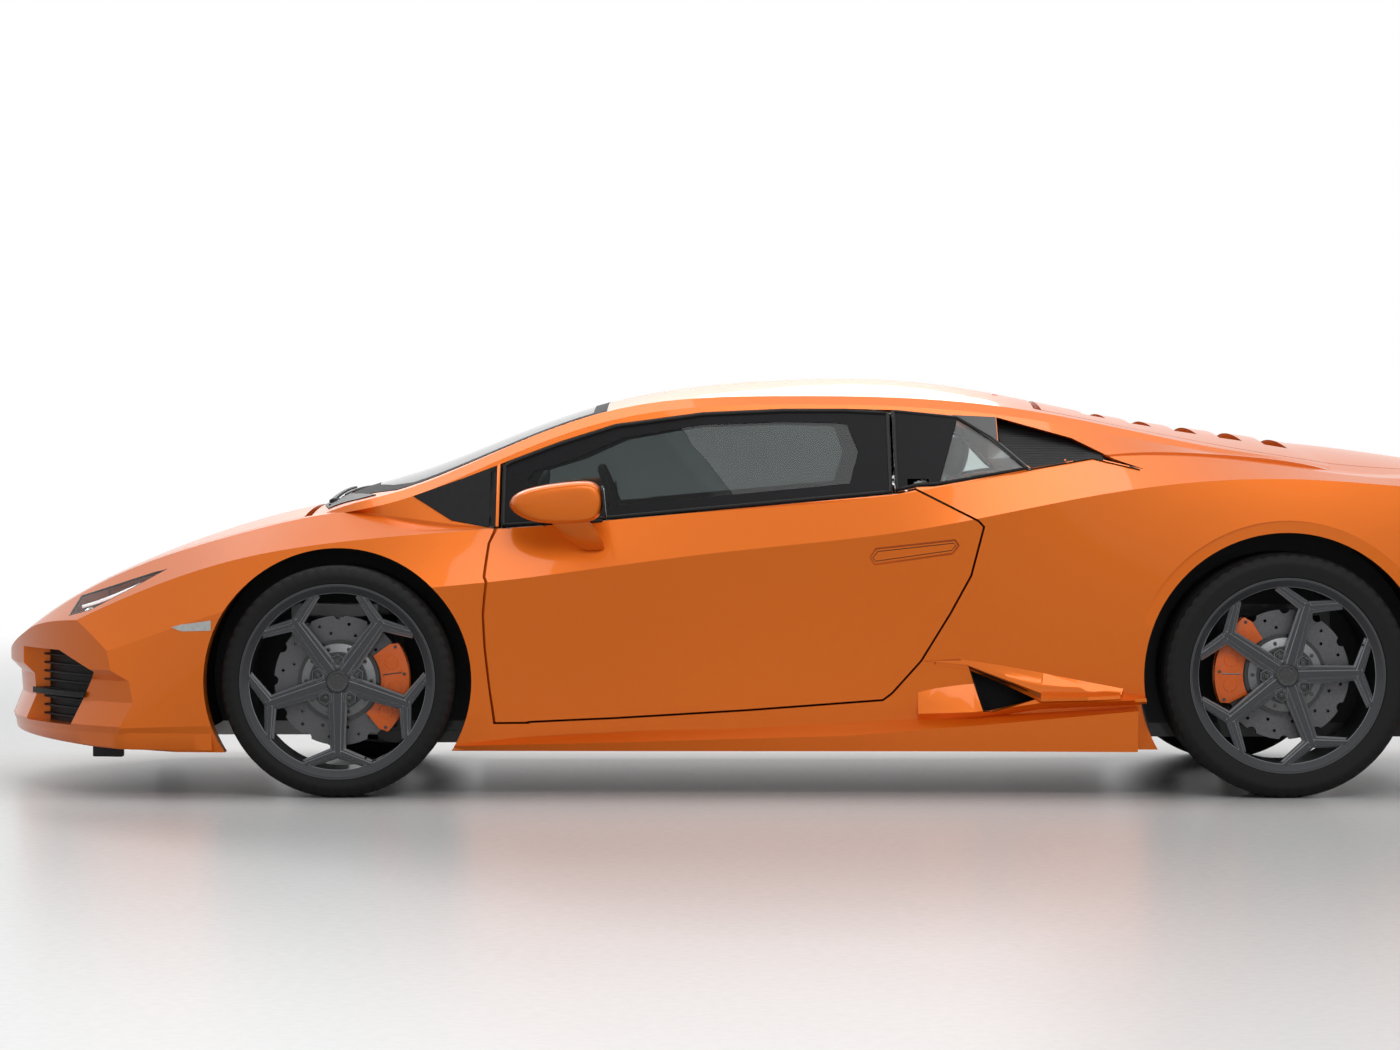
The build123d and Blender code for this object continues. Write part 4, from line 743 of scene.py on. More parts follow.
# The thin black ring just outside the bell is painted shade in the gap between bell and disc.
BELL_GAP_SHADE = [(-0.001, 0.1035), (-0.001, 0.1125), (0.0010, 0.1125), (0.0010, 0.1035)]
BELL_BOLT = [(0.0, 0.0), (0.0, 0.0055), (0.003, 0.0052), (0.0035, 0.0)]
BELL_BOLT_CIRCLE, BELL_BOLTS = 0.091, 10
for wheel, place, out, hub in WHEELS:
    body, way = f"{wheel}_wheel", (0, out, 0)
    centre = Vector((hub.x, out * DISC_FACE[place], hub.z))
    turned_piece(f"{wheel}_bell", BELL, centre, way, HAT_METAL, body, 64)
    # a black ring of painted shade in the gap round the bell
    turned_piece(f"{wheel}_bell_gap", BELL_GAP_SHADE, centre, way, LAMP_BLACK, body, 64)
    for index in range(BELL_BOLTS):
        spot = centre + about_axle(BELL_BOLT_CIRCLE, 360 / BELL_BOLTS * (index + 0.5), out * 0.0052)
        turned_piece(f"{wheel}_bell_bolt_{index}", BELL_BOLT, spot, way, CAP_BLACK, body, 12)
print("bells on", len(WHEELS), "discs")


# %% Calipers
CALIPER_ARCS = {"front": (144, 230), "rear": (-27, 58)}  # degrees up from straight ahead
CALIPER_INNER, CALIPER_OUTER, BRIDGE_INNER = 0.117, 0.1965, 0.1840
PISTON = [(0.0, 0.0), (0.0, 0.020), (0.0015, 0.0185), (0.0020, 0.0)]
CALIPER_BOLT = [(0.0, 0.0), (0.0, 0.0052), (0.0022, 0.0048), (0.0022, 0.0)]


def ring_part(inner, outer, start, end, corner=4.0, steps=18):
    """The outline of a part of a ring, its outer corners cut off."""
    outside = [(outer, start + corner + (end - start - 2 * corner) * i / steps)
               for i in range(steps + 1)]
    cut = inner + 0.72 * (outer - inner)
    inside = [(inner, end - (end - start) * i / steps) for i in range(steps + 1)]
    return [(r * math.cos(math.radians(a)), r * math.sin(math.radians(a)))
            for r, a in [(cut, start), *outside, (cut, end), *inside]]


def caliper_pieces(place, side, sign):
    hub = HUBS[f"{place}_{side}"]
    name = f"{place}_{side}"
    body = f"{side}_knuckle" if place == "front" else "body"
    start, end = CALIPER_ARCS[place]
    face = DISC_FACE[place]

    def on_wheel(a, b, c):
        return (hub.x + a, sign * c, hub.z + b)

    def on_arc(share, radius, height):
        angle = math.radians(start + (end - start) * share)
        return Vector(on_wheel(radius * math.cos(angle), radius * math.sin(angle), face + height))

    whole = ring_part(CALIPER_INNER, CALIPER_OUTER, start, end)
    main = plate_piece(f"{name}_caliper_face", whole, (face + 0.0025, face + 0.0125), CALIPER,
                       body, 0.003, place=on_wheel)
    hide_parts(f"front_{side}_caliper" if place == "front" else "rear_calipers")
    plate_piece(f"{name}_caliper_back", whole, (face - 0.060, face - 0.0425), CALIPER, body,
                0.003, place=on_wheel)
    for part, shares in enumerate(((0.03, 0.26), (0.40, 0.60), (0.74, 0.97))):
        span = [start + (end - start) * share for share in shares]
        plate_piece(f"{name}_caliper_bridge_{part}",
                    ring_part(BRIDGE_INNER, CALIPER_OUTER - 0.002, *span, corner=1.0, steps=6),
                    (face - 0.045, face + 0.006), CALIPER, body, 0.001, place=on_wheel)
    for index, share in enumerate((0.20, 0.50, 0.80)):
        turned_piece(f"{name}_piston_{index}", PISTON, on_arc(share, 0.156, 0.012), (0, sign, 0),
                     CALIPER, body, 32)
    for index, share in enumerate((0.06, 0.35, 0.65, 0.94)):
        turned_piece(f"{name}_caliper_bolt_{index}", CALIPER_BOLT, on_arc(share, 0.183, 0.0122),
                     (0, sign, 0), CAP_BLACK, body, 6)
    # Two black lines across the caliper's face are painted shade in its grooves.
    for index, share in enumerate((0.33, 0.67)):
        bead(f"{name}_caliper_groove_{index}",
             [on_arc(share, radius, 0.0128) for radius in (0.124, 0.150, 0.176)],
             0.0018, LAMP_BLACK, body, sides=6)


for side, sign in SIDES:
    for place in ("front", "rear"):
        caliper_pieces(place, side, sign)
print("calipers on", len(WHEELS), "wheels")

# %% [markdown]
# ## Window surround
#
# The side glass sits in a black rubber channel, with a wide black post between the door
# glass and the quarter glass, and a black sail in the front corner, ahead of the door.
# The beads and plates are dropped onto the skin, so they sit where the glass is.

# %% Seals, sail and posts
DOOR_GLASS_LINE = [
    (755, 751), (639, 757), (483, 770), (100, 805), (-320, 843), (-320, 1062), (-200, 1068),
    (-27, 1068), (200, 1058), (445, 1025), (600, 976), (740, 923), (755, 914),
]
QUARTER_LINE = [
    (-338, 1066), (-350, 1066), (-518, 1049), (-608, 993), (-700, 908), (-450, 865), (-395, 862),
    (-338, 849),
]
DOOR_OPENING = [  # pairs of points: the glass's edge, and the clear part's edge
    ((755, 751), (690, 792)), ((639, 757), (639, 789)), ((483, 770), (483, 801)),
    ((100, 805), (100, 837)), ((-320, 843), (-207, 866)), ((-320, 950), (-234, 955)),
    ((-320, 1062), (-205, 1030)), ((-200, 1068), (-180, 1035)), ((-27, 1068), (-27, 1038)),
    ((200, 1058), (203, 1030)), ((445, 1025), (428, 992)), ((600, 976), (560, 934)),
    ((740, 923), (672, 900)), ((755, 914), (690, 878)),
]
SAIL = [(764, 741), (764, 916), (880, 876), (1008, 830), (900, 764)]
POST = [(-334, 848), (-334, 1069), (-350, 1068), (-518, 1051), (-513, 1033), (-455, 863)]
REAR_STRIP = [(-505, 1056), (-634, 1050), (-634, 978), (-716, 903), (-700, 903), (-606, 988)]


def border_pieces(name, pairs, tree, view, material, body, lift, thick, cell):
    """A ring of plates between an outer and an inner line on the skin."""
    for index, (outer, inner) in enumerate(pairs):
        next_outer, next_inner = pairs[(index + 1) % len(pairs)]
        skin_patch(f"{name}_{index}", [outer, next_outer, next_inner, inner], tree, view,
                   material, body, lift, thick, cell)


for side, _ in SIDES:
    glass = skin_of(f"{side}_door_glass")
    skin_line(f"{side}_door_seal", DOOR_GLASS_LINE, glass, side, SEAL_RUBBER, f"{side}_door",
              0.0005, 0.0055, closed=True)
    border_pieces(f"{side}_door_border", DOOR_OPENING, glass, side, PRINT_BLACK,
                  f"{side}_door", 0.0008, 0.0012, 0.06)
    quarter = skin_of("quarter_windows")
    skin_line(f"{side}_quarter_seal", QUARTER_LINE, quarter, side, SEAL_RUBBER, "body",
              0.0005, 0.0050, closed=True)
    frame_skin = skin_of("quarter_windows", "front_wings", "roof", "rear_quarters")
    skin_patch(f"{side}_sail", SAIL, frame_skin, side, GLOSS_BLACK, "body", 0.0025, 0.004, 0.03)
    skin_line(f"{side}_sail_edge", [(767.5, 743), (767.5, 912)], skin_of("front_wings"), side,
              SEAL_RUBBER, "body", 0.0, 0.0065)
    skin_patch(f"{side}_post", POST, quarter, side, PRINT_BLACK, "body", 0.0020, 0.003, 0.03)
    skin_patch(f"{side}_rear_strip", REAR_STRIP, frame_skin, side, GLOSS_BLACK, "body", 0.0025,
               0.004, 0.03)
    skin_line(f"{side}_belt_bead", [(755, 744), (639, 750), (483, 763), (-320, 836)],
              skin_of(f"{side}_door"), side, SEAL_RUBBER, f"{side}_door", 0.001, 0.0045)
print("window surround on", len(SIDES), "sides")

# %% [markdown]
# ## Windscreen border, cowl and wipers
#
# A windscreen has a black printed border that hides its glue, and below it a black
# plastic cowl with drain slots. Two wipers park on it, each a tapering arm from a capped
# pivot to a long blade with a rubber lip.

# %% Windscreen border
SCREEN_HALF = [(1226, 0), (1203, 348), (1148, 556), (1059, 668), (740, 635), (473, 570), (473, 0)]
SCREEN_INNER = [
    (1150, 0), (1128, 330), (1082, 500), (1016, 606), (760, 594), (510, 532), (510, 0),
]


def mirrored_line(half):
    return half + [(x, -y) for x, y in reversed(half) if y]


screen = skin_of("windscreen")
bands = list(zip(SCREEN_HALF, SCREEN_HALF[1:], SCREEN_INNER[1:], SCREEN_INNER))
for index, band in enumerate(bands):
    for side, sign in SIDES:
        skin_patch(f"screen_border_{index}_{side}", [(x, sign * y) for x, y in band], screen,
                   "top", PRINT_BLACK, "body", 0.0012, 0.0018, 0.04)
print("windscreen border in", 2 * len(bands), "pieces")

# %% Cowl and wipers
COWL_HALF = [(1296, 0), (1290, 300), (1262, 545), (1170, 640), (1120, 655), (1152, 566),
             (1210, 356), (1233, 0)]
screen_and_cowl = skin_of("front_wings", "windscreen")
skin_patch("cowl", mirrored_line(COWL_HALF), screen_and_cowl, "top", BLACK_TRIM, "body", 0.003,
           0.005, 0.035)
for index in range(9):
    x0, y0 = 1276 - 0.9 * index, -430 + 100 * index + 15 * (index % 2)
    skin_line(f"cowl_slot_{index}", [(x0, y0), (x0 - 3, y0 + 60)], screen_and_cowl, "top",
              MESH_BLACK, "body", 0.004, 0.0035)


WIPER_PIVOT = [(0.0, 0.0), (0.0, 0.014), (0.009, 0.0125), (0.012, 0.008), (0.0125, 0.0)]
ARM_RADII = [0.0065, 0.006, 0.0055, 0.005, 0.0045, 0.0035]
BLADE_RADII = [0.0030] + [0.0045] * 13 + [0.0030]


def wiper(name, pivot, tip):
    """A wiper that lies along the screen's foot, from its pivot to its tip (mm)."""
    def along(part, lift, back=0):
        a, b = between(pivot, tip, part)
        return drop(screen_and_cowl, "top", (a - back) / 1000, b / 1000, lift)[0]

    arm = [along(step / 8, 0.009 + 0.006 * math.sin(math.pi * min(1.0, step / 8 * 1.1)))
           for step in range(len(ARM_RADII))]
    bead(f"{name}_arm", arm, ARM_RADII, BLACK_TRIM, "body")
    turned_piece(f"{name}_pivot", WIPER_PIVOT, along(0, 0.002), (0.25, 0, 1), BLACK_TRIM, "body",
                 start=(1, 0, -0.25))
    blade = [along(0.22 + 0.9 * step / 14, 0.0045, 10) for step in range(len(BLADE_RADII))]
    bead(f"{name}_blade", blade, BLADE_RADII, SEAL_RUBBER, "body")


wiper("left_wiper", (1262, 330), (1196, -270))
wiper("right_wiper", (1268, -210), (1128, -590))
print("cowl, slots and two wipers")

# %% [markdown]
# ## Lamps
#
# Each headlamp is a black bowl with a long curved light bar and three small projectors,
# under a clear cover that carries the wing's surface on. The bowl is the cover's outline
# again, sunk behind the skin. The cover stands for the solid lamp of the frame.

# %% Headlamps
LAMP_LINE = [
    (1974, 497), (1911, 514), (1786, 579), (1699, 627), (1737, 617), (1861, 577), (1954, 548),
]
LAMP_BAR = [(1952, 531), (1905, 545), (1850, 566), (1770, 600)]
PROJECTORS = [(1925, 522), (1880, 537), (1835, 556)]
PROJECTOR_BOWL = [(0.0, 0.0), (0.0, 0.011), (0.012, 0.0135), (0.013, 0.0125), (0.004, 0.0085),
                  (0.0035, 0.0)]
PROJECTOR_LENS = [(0.002, 0.0), (0.002, 0.0085), (0.006, 0.0078), (0.009, 0.0050), (0.0105, 0.0)]
lamp_skin = skin_of("headlamps")
for side, _ in SIDES:
    cover = skin_patch(f"{side}_lamp_cover", LAMP_LINE, lamp_skin, side, CLEAR_COVER, "body",
                       0.0, 0.003, 0.02)
    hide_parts("headlamps")
    skin_patch(f"{side}_lamp_bowl", LAMP_LINE, lamp_skin, side, LAMP_BLACK, "body",
               -0.030, 0.006, 0.02)
    skin_line(f"{side}_lamp_bar", LAMP_BAR, lamp_skin, side, LIGHT_BAR, "body", -0.016, 0.0045)
    skin_line(f"{side}_lamp_rim", LAMP_LINE, lamp_skin, side, LAMP_BLACK, "body",
              -0.003, 0.0035, closed=True)
    for index, (x, z) in enumerate(PROJECTORS):
        place, normal = drop(lamp_skin, side, x / 1000, z / 1000, -0.024)
        turned_piece(f"{side}_projector_{index}", PROJECTOR_BOWL, place, normal, CHROME, "body",
                     start=normal.orthogonal())
        turned_piece(f"{side}_projector_lens_{index}", PROJECTOR_LENS, place, normal,
                     PROJECTOR_GLASS, "body", start=normal.orthogonal())
print("headlamps ready")

# %% [markdown]
# ## Small outside pieces
#
# A pale side marker on each front corner, the dark slot behind each quarter window, the
# black lining of the side intakes, a plain round badge and the bare rear plate come
# first. Then come the fins over the intakes, and the lip, floor and skids under the nose.

# %% Markers, slots, badge and plates
MARKER = [(1667, 470), (1636, 479), (1536, 493), (1546, 463), (1636, 460)]
INTAKE = [(-536, 360), (-575, 240), (-598, 237), (-720, 275), (-706, 290)]
POCKET_FLOOR_Y = 0.8395
SLOT = [(-634, 1044), (-832, 987), (-945, 929), (-1012, 903), (-885, 934), (-716, 905),
        (-634, 980)]
BADGE = [(0.0, 0.0), (0.0, 0.030), (0.002, 0.0305), (0.0035, 0.0285), (0.0022, 0.0265),
         (0.0030, 0.0)]
bumper = skin_of("front_bumper")
quarters = skin_of("rear_quarters")
sills = skin_of("sills", "rear_quarters")


def shrunk(outline, share):
    """The outline drawn in towards its middle by a share."""
    a0 = sum(a for a, _ in outline) / len(outline)
    b0 = sum(b for _, b in outline) / len(outline)
    return [(a + (a0 - a) * share, b + (b0 - b) * share) for a, b in outline]


def lining_piece(name, outline, tree, side, sign):
    """A black cup that lines a pocket: walls up to the skin round it, and a floor."""
    rim, count = [], len(outline)
    for (a, b), (a_out, b_out) in zip(outline, shrunk(outline, -0.05)):
        skin, _ = drop(tree, side, a_out / 1000, b_out / 1000)
        rim.append((a, b, abs(skin.y) - 0.003))
    rows = [
        [(a, b, y) for a, b, y in rim],
        [(a, b, POCKET_FLOOR_Y) for a, b in shrunk(outline, 0.01)],
        [(a, b, POCKET_FLOOR_Y + 0.002) for a, b in shrunk(outline, 0.04)],
        [(a, b, y) for (a, b), (_, _, y) in zip(shrunk(outline, 0.03), rim)],
    ]
    vertices = [Vector((a / 1000, sign * y, b / 1000)) for row in rows for a, b, y in row]
    faces = ring_faces(4, count, closed=True)
    faces[count:2 * count] = [  # the floor's two sides
        list(range(count, 2 * count)), list(reversed(range(2 * count, 3 * count)))]
    return mesh_piece(name, vertices, faces, PRINT_BLACK, "body", 30.0)


for side, sign in SIDES:
    skin_patch(f"{side}_marker", MARKER, bumper, side, MARKER_LENS, "body", 0.002, 0.004, 0.02)
    skin_patch(f"{side}_slot_trim", SLOT, quarters, side, MESH_BLACK, "body", 0.003, 0.004, 0.025)
    lining_piece(f"{side}_intake_lining", INTAKE, sills, side, sign)
badge_place, badge_normal = drop(bumper, "top", 2.02, 0.0)
turned_piece("nose_badge", BADGE, badge_place, badge_normal, CAP_BLACK, "body", start=(0, 1, 0))
plate_piece("rear_plate", rounded_rectangle(0.250, 0.0525, 0.010), (0.0, 0.003), PLATE_WHITE,
            "body", place=lambda a, b, c: (-2.1790 - c, a, 0.4870 + b))
print("markers, slots, badge and plate")

# %% Side fins and handle lines
FIN_TOP = [(-404, 377), (-510, 382), (-620, 366), (-740, 344), (-870, 318), (-960, 301),
           (-1030, 289)]
FIN_CREST = [(-440, 374, 0.001), (-536, 361, 0.003), (-650, 311, 0.012), (-730, 276, 0.020),
             (-860, 279, 0.018), (-950, 283, 0.012), (-1032, 286, 0.004)]  # with its reach
FIN_STEPS = 5
HANDLE_LINE = [(-268, 663), (-282, 680), (-490, 703), (-496, 696), (-485, 683), (-276, 653)]
fin_skin = skin_of("rear_quarters", "sills")
for side, sign in SIDES:
    vertices, row = [], FIN_STEPS + 3
    for start, (x, z, reach) in zip(FIN_TOP, FIN_CREST):
        for step in range(FIN_STEPS + 1):
            part = step / FIN_STEPS
            a, b = between(start, (x, z), part)
            place, _ = drop(fin_skin, side, a / 1000, b / 1000)
            vertices.append(place + Vector((0, sign * (0.0012 + reach * part), 0)))
        foot, _ = drop(fin_skin, side, x / 1000, (z - 9) / 1000)
        vertices.append(foot + Vector((0, sign * reach * 0.5, 0)))
        vertices.append(foot + Vector((0, -sign * 0.012, 0)))
    faces = ring_faces(len(FIN_TOP), row)
    last = len(vertices) - row
    faces += [list(range(row)), [last + i for i in reversed(range(row))]]
    mesh_piece(f"{side}_fin", vertices, faces, PAINT, "body", 20.0)
    skin_line(f"{side}_handle_line", HANDLE_LINE, skin_of(f"{side}_door"), side, SEAL_RUBBER,
              f"{side}_door", -0.0004, 0.0012, closed=True)
print("fins and handle lines ready")

# %% Front lip and floor
LIP_TOP = 0.180
LIP_LOW = [(1.50, 0.126), (1.90, 0.136), (2.10, 0.148), (2.24, 0.157)]
LIP_CENTRE_X, LIP_REACH, LIP_STEPS = 1.20, 69.0, 96


def lip_low(x):
    """The height of the lip's lower edge at a place along the car."""
    for (x0, z0), (x1, z1) in zip(LIP_LOW, LIP_LOW[1:]):
        if x <= x1:
            return z0 + (z1 - z0) * max(0.0, (x - x0) / (x1 - x0))
    return LIP_LOW[-1][1]


vertices = []
for step in range(LIP_STEPS + 1):
    angle = math.radians(-LIP_REACH + 2 * LIP_REACH * step / LIP_STEPS)
    out = Vector((math.cos(angle), math.sin(angle), 0.0))
    start = Vector((LIP_CENTRE_X, 0.0, LIP_TOP)) + out * 2.0
    place, _, _, _ = bumper.ray_cast(start, -out)
    low = lip_low(place.x)
    for inset, height in ((0.0010, LIP_TOP), (0.004, low + 0.004), (0.008, low), (0.020, low),
                          (0.024, LIP_TOP - 0.004)):
        at = place - out * inset
        vertices.append(Vector((at.x, at.y, height)))
faces = ring_faces(LIP_STEPS + 1, 5)
faces += [[0, 1, 2, 3, 4], [LIP_STEPS * 5 + index for index in (4, 3, 2, 1, 0)]]
mesh_piece("front_lip", vertices, faces, PAINT, "body", 40.0)
NOSE_RADIUS = 1.261
NOSE_AXIS_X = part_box("front_bumper")[1].x - NOSE_RADIUS
FLOOR_INSET = 0.11


def nose_x(y, behind):
    return NOSE_AXIS_X + math.sqrt((NOSE_RADIUS - behind) ** 2 - y * y)


front = [(nose_x(y, FLOOR_INSET), y) for y in [0.72 - 0.09 * step for step in range(17)]]
back = [(1.80, -0.76), (1.72, -0.70), (1.72, 0.70), (1.80, 0.76)]
plate_piece("nose_floor", front + back, (0.140, 0.150), BLACK_TRIM, "body", 0.003)
SKID = [(1.900, 0.800), (1.815, 0.815), (1.815, 0.770), (1.900, 0.755)]
for side, sign in SIDES:
    plate_piece(f"{side}_skid", [(x, sign * y) for x, y in SKID], (0.106, 0.145), BLACK_TRIM,
                "body", 0.004)
print("front lip, floor and skids ready")

# %% [markdown]
# ## Rear lamps, exhaust mouths and high stop lamp
#
# The tail lamps of the frame are bent blades. A bright line of light runs along each, and
# a thin red bar under the roof's rear edge is the high stop lamp. The exhaust pipes get
# rolled mouths.

# %% Rear lamp lines and exhaust mouths
tail = skin_of("tail_lamps")
for side, sign in SIDES:
    line = [(sign * y, z) for y, z in ((510, 712), (698, 712), (826, 698), (826, 630))]
    skin_line(f"{side}_tail_line", line, tail, "rear", RED_GLOW, "body", 0.001, 0.0035)
skin_patch("stop_lamp", [(-640, -210), (-640, 210), (-655, 210), (-655, -210)],
           skin_of("roof", "rear_quarters"), "top", RED_GLOW, "body", 0.0015, 0.003, 0.05)
MOUTH_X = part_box("exhausts")[0].x + 0.001
MOUTH_Y, MOUTH_Z, MOUTH_HALF_WIDTH, MOUTH_HALF_HEIGHT, MOUTH_STEPS = 0.190, 0.345, 0.049, 0.035, 48
for side, sign in SIDES:
    mouth = []
    for step in range(MOUTH_STEPS):
        angle = 2 * math.pi * step / MOUTH_STEPS
        mouth.append(Vector((MOUTH_X, sign * MOUTH_Y + MOUTH_HALF_WIDTH * math.cos(angle),
                             MOUTH_Z + MOUTH_HALF_HEIGHT * math.sin(angle))))
    bead(f"{side}_exhaust_mouth", mouth, 0.0045, CHROME, "body", closed=True)
print("rear lamps and exhaust mouths")

# %% [markdown]
# ## Lofted forms
#
# Pods, pads and shells are soft forms with no flat sides. Each is a row of rings, joined
# into a closed mesh and then subdivided.

# %% Rings and modifiers
def lofted_pad(name, rings):
    """A closed form through rings of points, each ring a list of the same length."""
    vertices = [point for ring in rings for point in ring]
    count = len(rings[0])
    faces = ring_faces(len(rings), count)
    faces.append(list(range(count))[::-1])
    faces.append(list(range(len(vertices) - count, len(vertices))))
    return raw_piece(name, vertices, faces)


def apply_modifier(piece, kind, **settings):
    modifier = piece.modifiers.new(kind.lower(), kind)
    for key, value in settings.items():
        setattr(modifier, key, value)
    bpy.context.view_layer.objects.active = piece
    for other in bpy.context.selected_objects:
        other.select_set(False)
    piece.select_set(True)
    bpy.ops.object.modifier_apply(modifier=modifier.name)


def pad_ring(centre, right, out, half_width, half_depth, square=3.2, steps=28):
    """A soft rectangle about a centre, in the plane of two directions."""
    ring = []
    for step in range(steps):
        angle = 2 * math.pi * step / steps
        across, away = [size * math.copysign(abs(part) ** (2 / square), part)
                        for size, part in ((half_width, math.cos(angle)),
                                           (half_depth, math.sin(angle)))]
        ring.append(centre + right * across + out * away)
    return ring


# %% [markdown]
# ## Mirrors
#
# A door mirror is a smooth pod on a thin arm. The pod's side outline is drawn once, and
# rings of it, shrunk towards the outer end, are joined and subdivided into a soft form.
# A silvered glass with a black edge closes its rear.

# %% Mirror pods
POD_OUTLINE = [
    (0.736, 0.812), (0.727, 0.832), (0.700, 0.850), (0.655, 0.862), (0.590, 0.872),
    (0.520, 0.878), (0.494, 0.872), (0.477, 0.850), (0.472, 0.822), (0.478, 0.790),
    (0.492, 0.768), (0.530, 0.759), (0.600, 0.757), (0.660, 0.760), (0.705, 0.776),
    (0.728, 0.795),
]
POD_CENTRE = (0.590, 0.816)
POD_RINGS = [  # distance from the centre plane, share of the outline, forward shift
    (0.9365, 0.70, 0.004), (0.9385, 0.86, 0.002), (0.9450, 0.96, 0.0), (0.9650, 1.0, 0.0),
    (1.0000, 0.99, -0.001), (1.0250, 0.95, -0.003), (1.0380, 0.87, -0.006), (1.0440, 0.72, -0.010),
]
ARM_LINE = [  # x, y and z of the arm's middle, half length and half thickness
    (0.500, 0.872, 0.690, 0.034, 0.014), (0.512, 0.905, 0.702, 0.040, 0.013),
    (0.536, 0.935, 0.728, 0.052, 0.013), (0.562, 0.958, 0.756, 0.056, 0.014),
    (0.578, 0.976, 0.784, 0.050, 0.013),
]


def pod_ring(y, share, shift):
    return [
        Vector((POD_CENTRE[0] + shift + share * (x - POD_CENTRE[0]), y,
                POD_CENTRE[1] + share * (z - POD_CENTRE[1])))
        for x, z in POD_OUTLINE
    ]


def sided(rings, sign):
    return [[Vector((p.x, sign * p.y, p.z)) for p in ring] for ring in rings]


for side, sign in SIDES:
    body = f"{side}_door"
    pod = lofted_pad(f"{side}_mirror_pod", sided([pod_ring(*row) for row in POD_RINGS], sign))
    apply_modifier(pod, "SUBSURF", levels=2)
    finish_piece(pod, PAINT, body, 60.0)
    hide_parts(f"{side}_mirror")
    arm = lofted_pad(f"{side}_mirror_arm", sided([
        pad_ring(Vector((x, y, z)), Vector((1, 0, 0)), Vector((0, -0.5, 1)).normalized(),
                 half_length, half_thick, 2.4, 20)
        for x, y, z, half_length, half_thick in ARM_LINE
    ], sign))
    apply_modifier(arm, "SUBSURF", levels=1)
    finish_piece(arm, PAINT, body, 60.0)

    def on_mirror(a, b, c, sign=sign):
        return (0.4760 - c + 0.10 * b, sign * (0.990 + a), 0.818 + b)

    plate_piece(f"{side}_mirror_edge", rounded_rectangle(0.046, 0.044, 0.018), (0.0, 0.0075),
                BLACK_TRIM, body, 0.002, place=on_mirror)
    plate_piece(f"{side}_mirror_glass", rounded_rectangle(0.042, 0.040, 0.015),
                (0.0060, 0.0080), MIRROR_SILVER, body, 0.0005, place=on_mirror)
print("mirror pods on", len(SIDES), "doors")

# %% [markdown]
# ## Seats
#
# Each seat is a shell with a soft cushion, a backrest with side wings and a headrest. A
# closed form in the seat's space is remeshed, swollen a little with the cloth solver and
# smoothed, so the leather looks filled. Stitched channels are added after that.

# %% Seat filling
CLOTH_FRAMES = 20
CLOTH_CAP = 0.012


def swell(piece, voxel=0.007):
    """Remesh a pad, fill it with a little pressure, and cap how far any point moves."""
    apply_modifier(piece, "REMESH", mode="VOXEL", voxel_size=voxel)
    apply_modifier(piece, "SMOOTH", factor=0.5, iterations=6)
    start = [v.co.copy() for v in piece.data.vertices]
    cloth = piece.modifiers.new("cloth", "CLOTH")
    cloth.settings.use_pressure = True
    cloth.settings.uniform_pressure_force = 4.0
    cloth.settings.effector_weights.gravity = 0.0
    cloth.settings.quality = 4
    cloth.point_cache.frame_start = 1
    cloth.point_cache.frame_end = CLOTH_FRAMES
    scene = bpy.context.scene
    for step in range(1, CLOTH_FRAMES + 1):
        scene.frame_set(step)
    solved = piece.evaluated_get(bpy.context.evaluated_depsgraph_get())
    end = [v.co.copy() for v in solved.data.vertices]
    piece.modifiers.remove(cloth)
    scene.frame_set(1)
    for vertex, before, after in zip(piece.data.vertices, start, end):
        move = after - before
        if move.length > CLOTH_CAP:
            move *= CLOTH_CAP / move.length
        vertex.co = before + move
    return piece


# %% Build the seats
SEAT_Y = 0.3675
UP, LEAN, HEAD_LEAN = (0, 0, 1), (0.9, 0, 0.44), (0.98, 0, 0.2)
MIDDLE_PADS = {  # front direction, then x, z, half width and half depth along the pad
    "seat_cushion": (UP, [
        (-0.235, 0.238, 0.150, 0.030), (-0.20, 0.236, 0.178, 0.046), (-0.05, 0.222, 0.182, 0.050),
        (0.12, 0.226, 0.180, 0.052), (0.24, 0.232, 0.172, 0.048), (0.272, 0.228, 0.140, 0.028)]),
    "seat_back": (LEAN, [
        (-0.235, 0.285, 0.140, 0.028), (-0.262, 0.34, 0.166, 0.040), (-0.32, 0.45, 0.170, 0.042),
        (-0.375, 0.56, 0.168, 0.042), (-0.43, 0.68, 0.162, 0.040), (-0.47, 0.79, 0.138, 0.036),
        (-0.492, 0.858, 0.100, 0.024)]),
    "headrest": (HEAD_LEAN, [
        (-0.508, 0.885, 0.085, 0.022), (-0.512, 0.905, 0.108, 0.034),
        (-0.522, 0.945, 0.112, 0.037), (-0.532, 0.982, 0.096, 0.032),
        (-0.535, 0.995, 0.070, 0.020)]),
}
WING_PADS = {  # the same, with the distance from the seat's middle at the end
    "thigh": (UP, [
        (-0.24, 0.262, 0.022, 0.040, 0.190), (-0.16, 0.272, 0.032, 0.056, 0.190),
        (0.02, 0.262, 0.034, 0.054, 0.190), (0.18, 0.256, 0.032, 0.050, 0.190),
        (0.235, 0.246, 0.022, 0.034, 0.190)]),
    "bolster": (LEAN, [
        (-0.235, 0.33, 0.022, 0.050, 0.180), (-0.275, 0.43, 0.032, 0.068, 0.188),
        (-0.335, 0.56, 0.034, 0.070, 0.192), (-0.405, 0.70, 0.034, 0.066, 0.186),
        (-0.458, 0.80, 0.030, 0.052, 0.160), (-0.482, 0.845, 0.020, 0.030, 0.135)]),
}
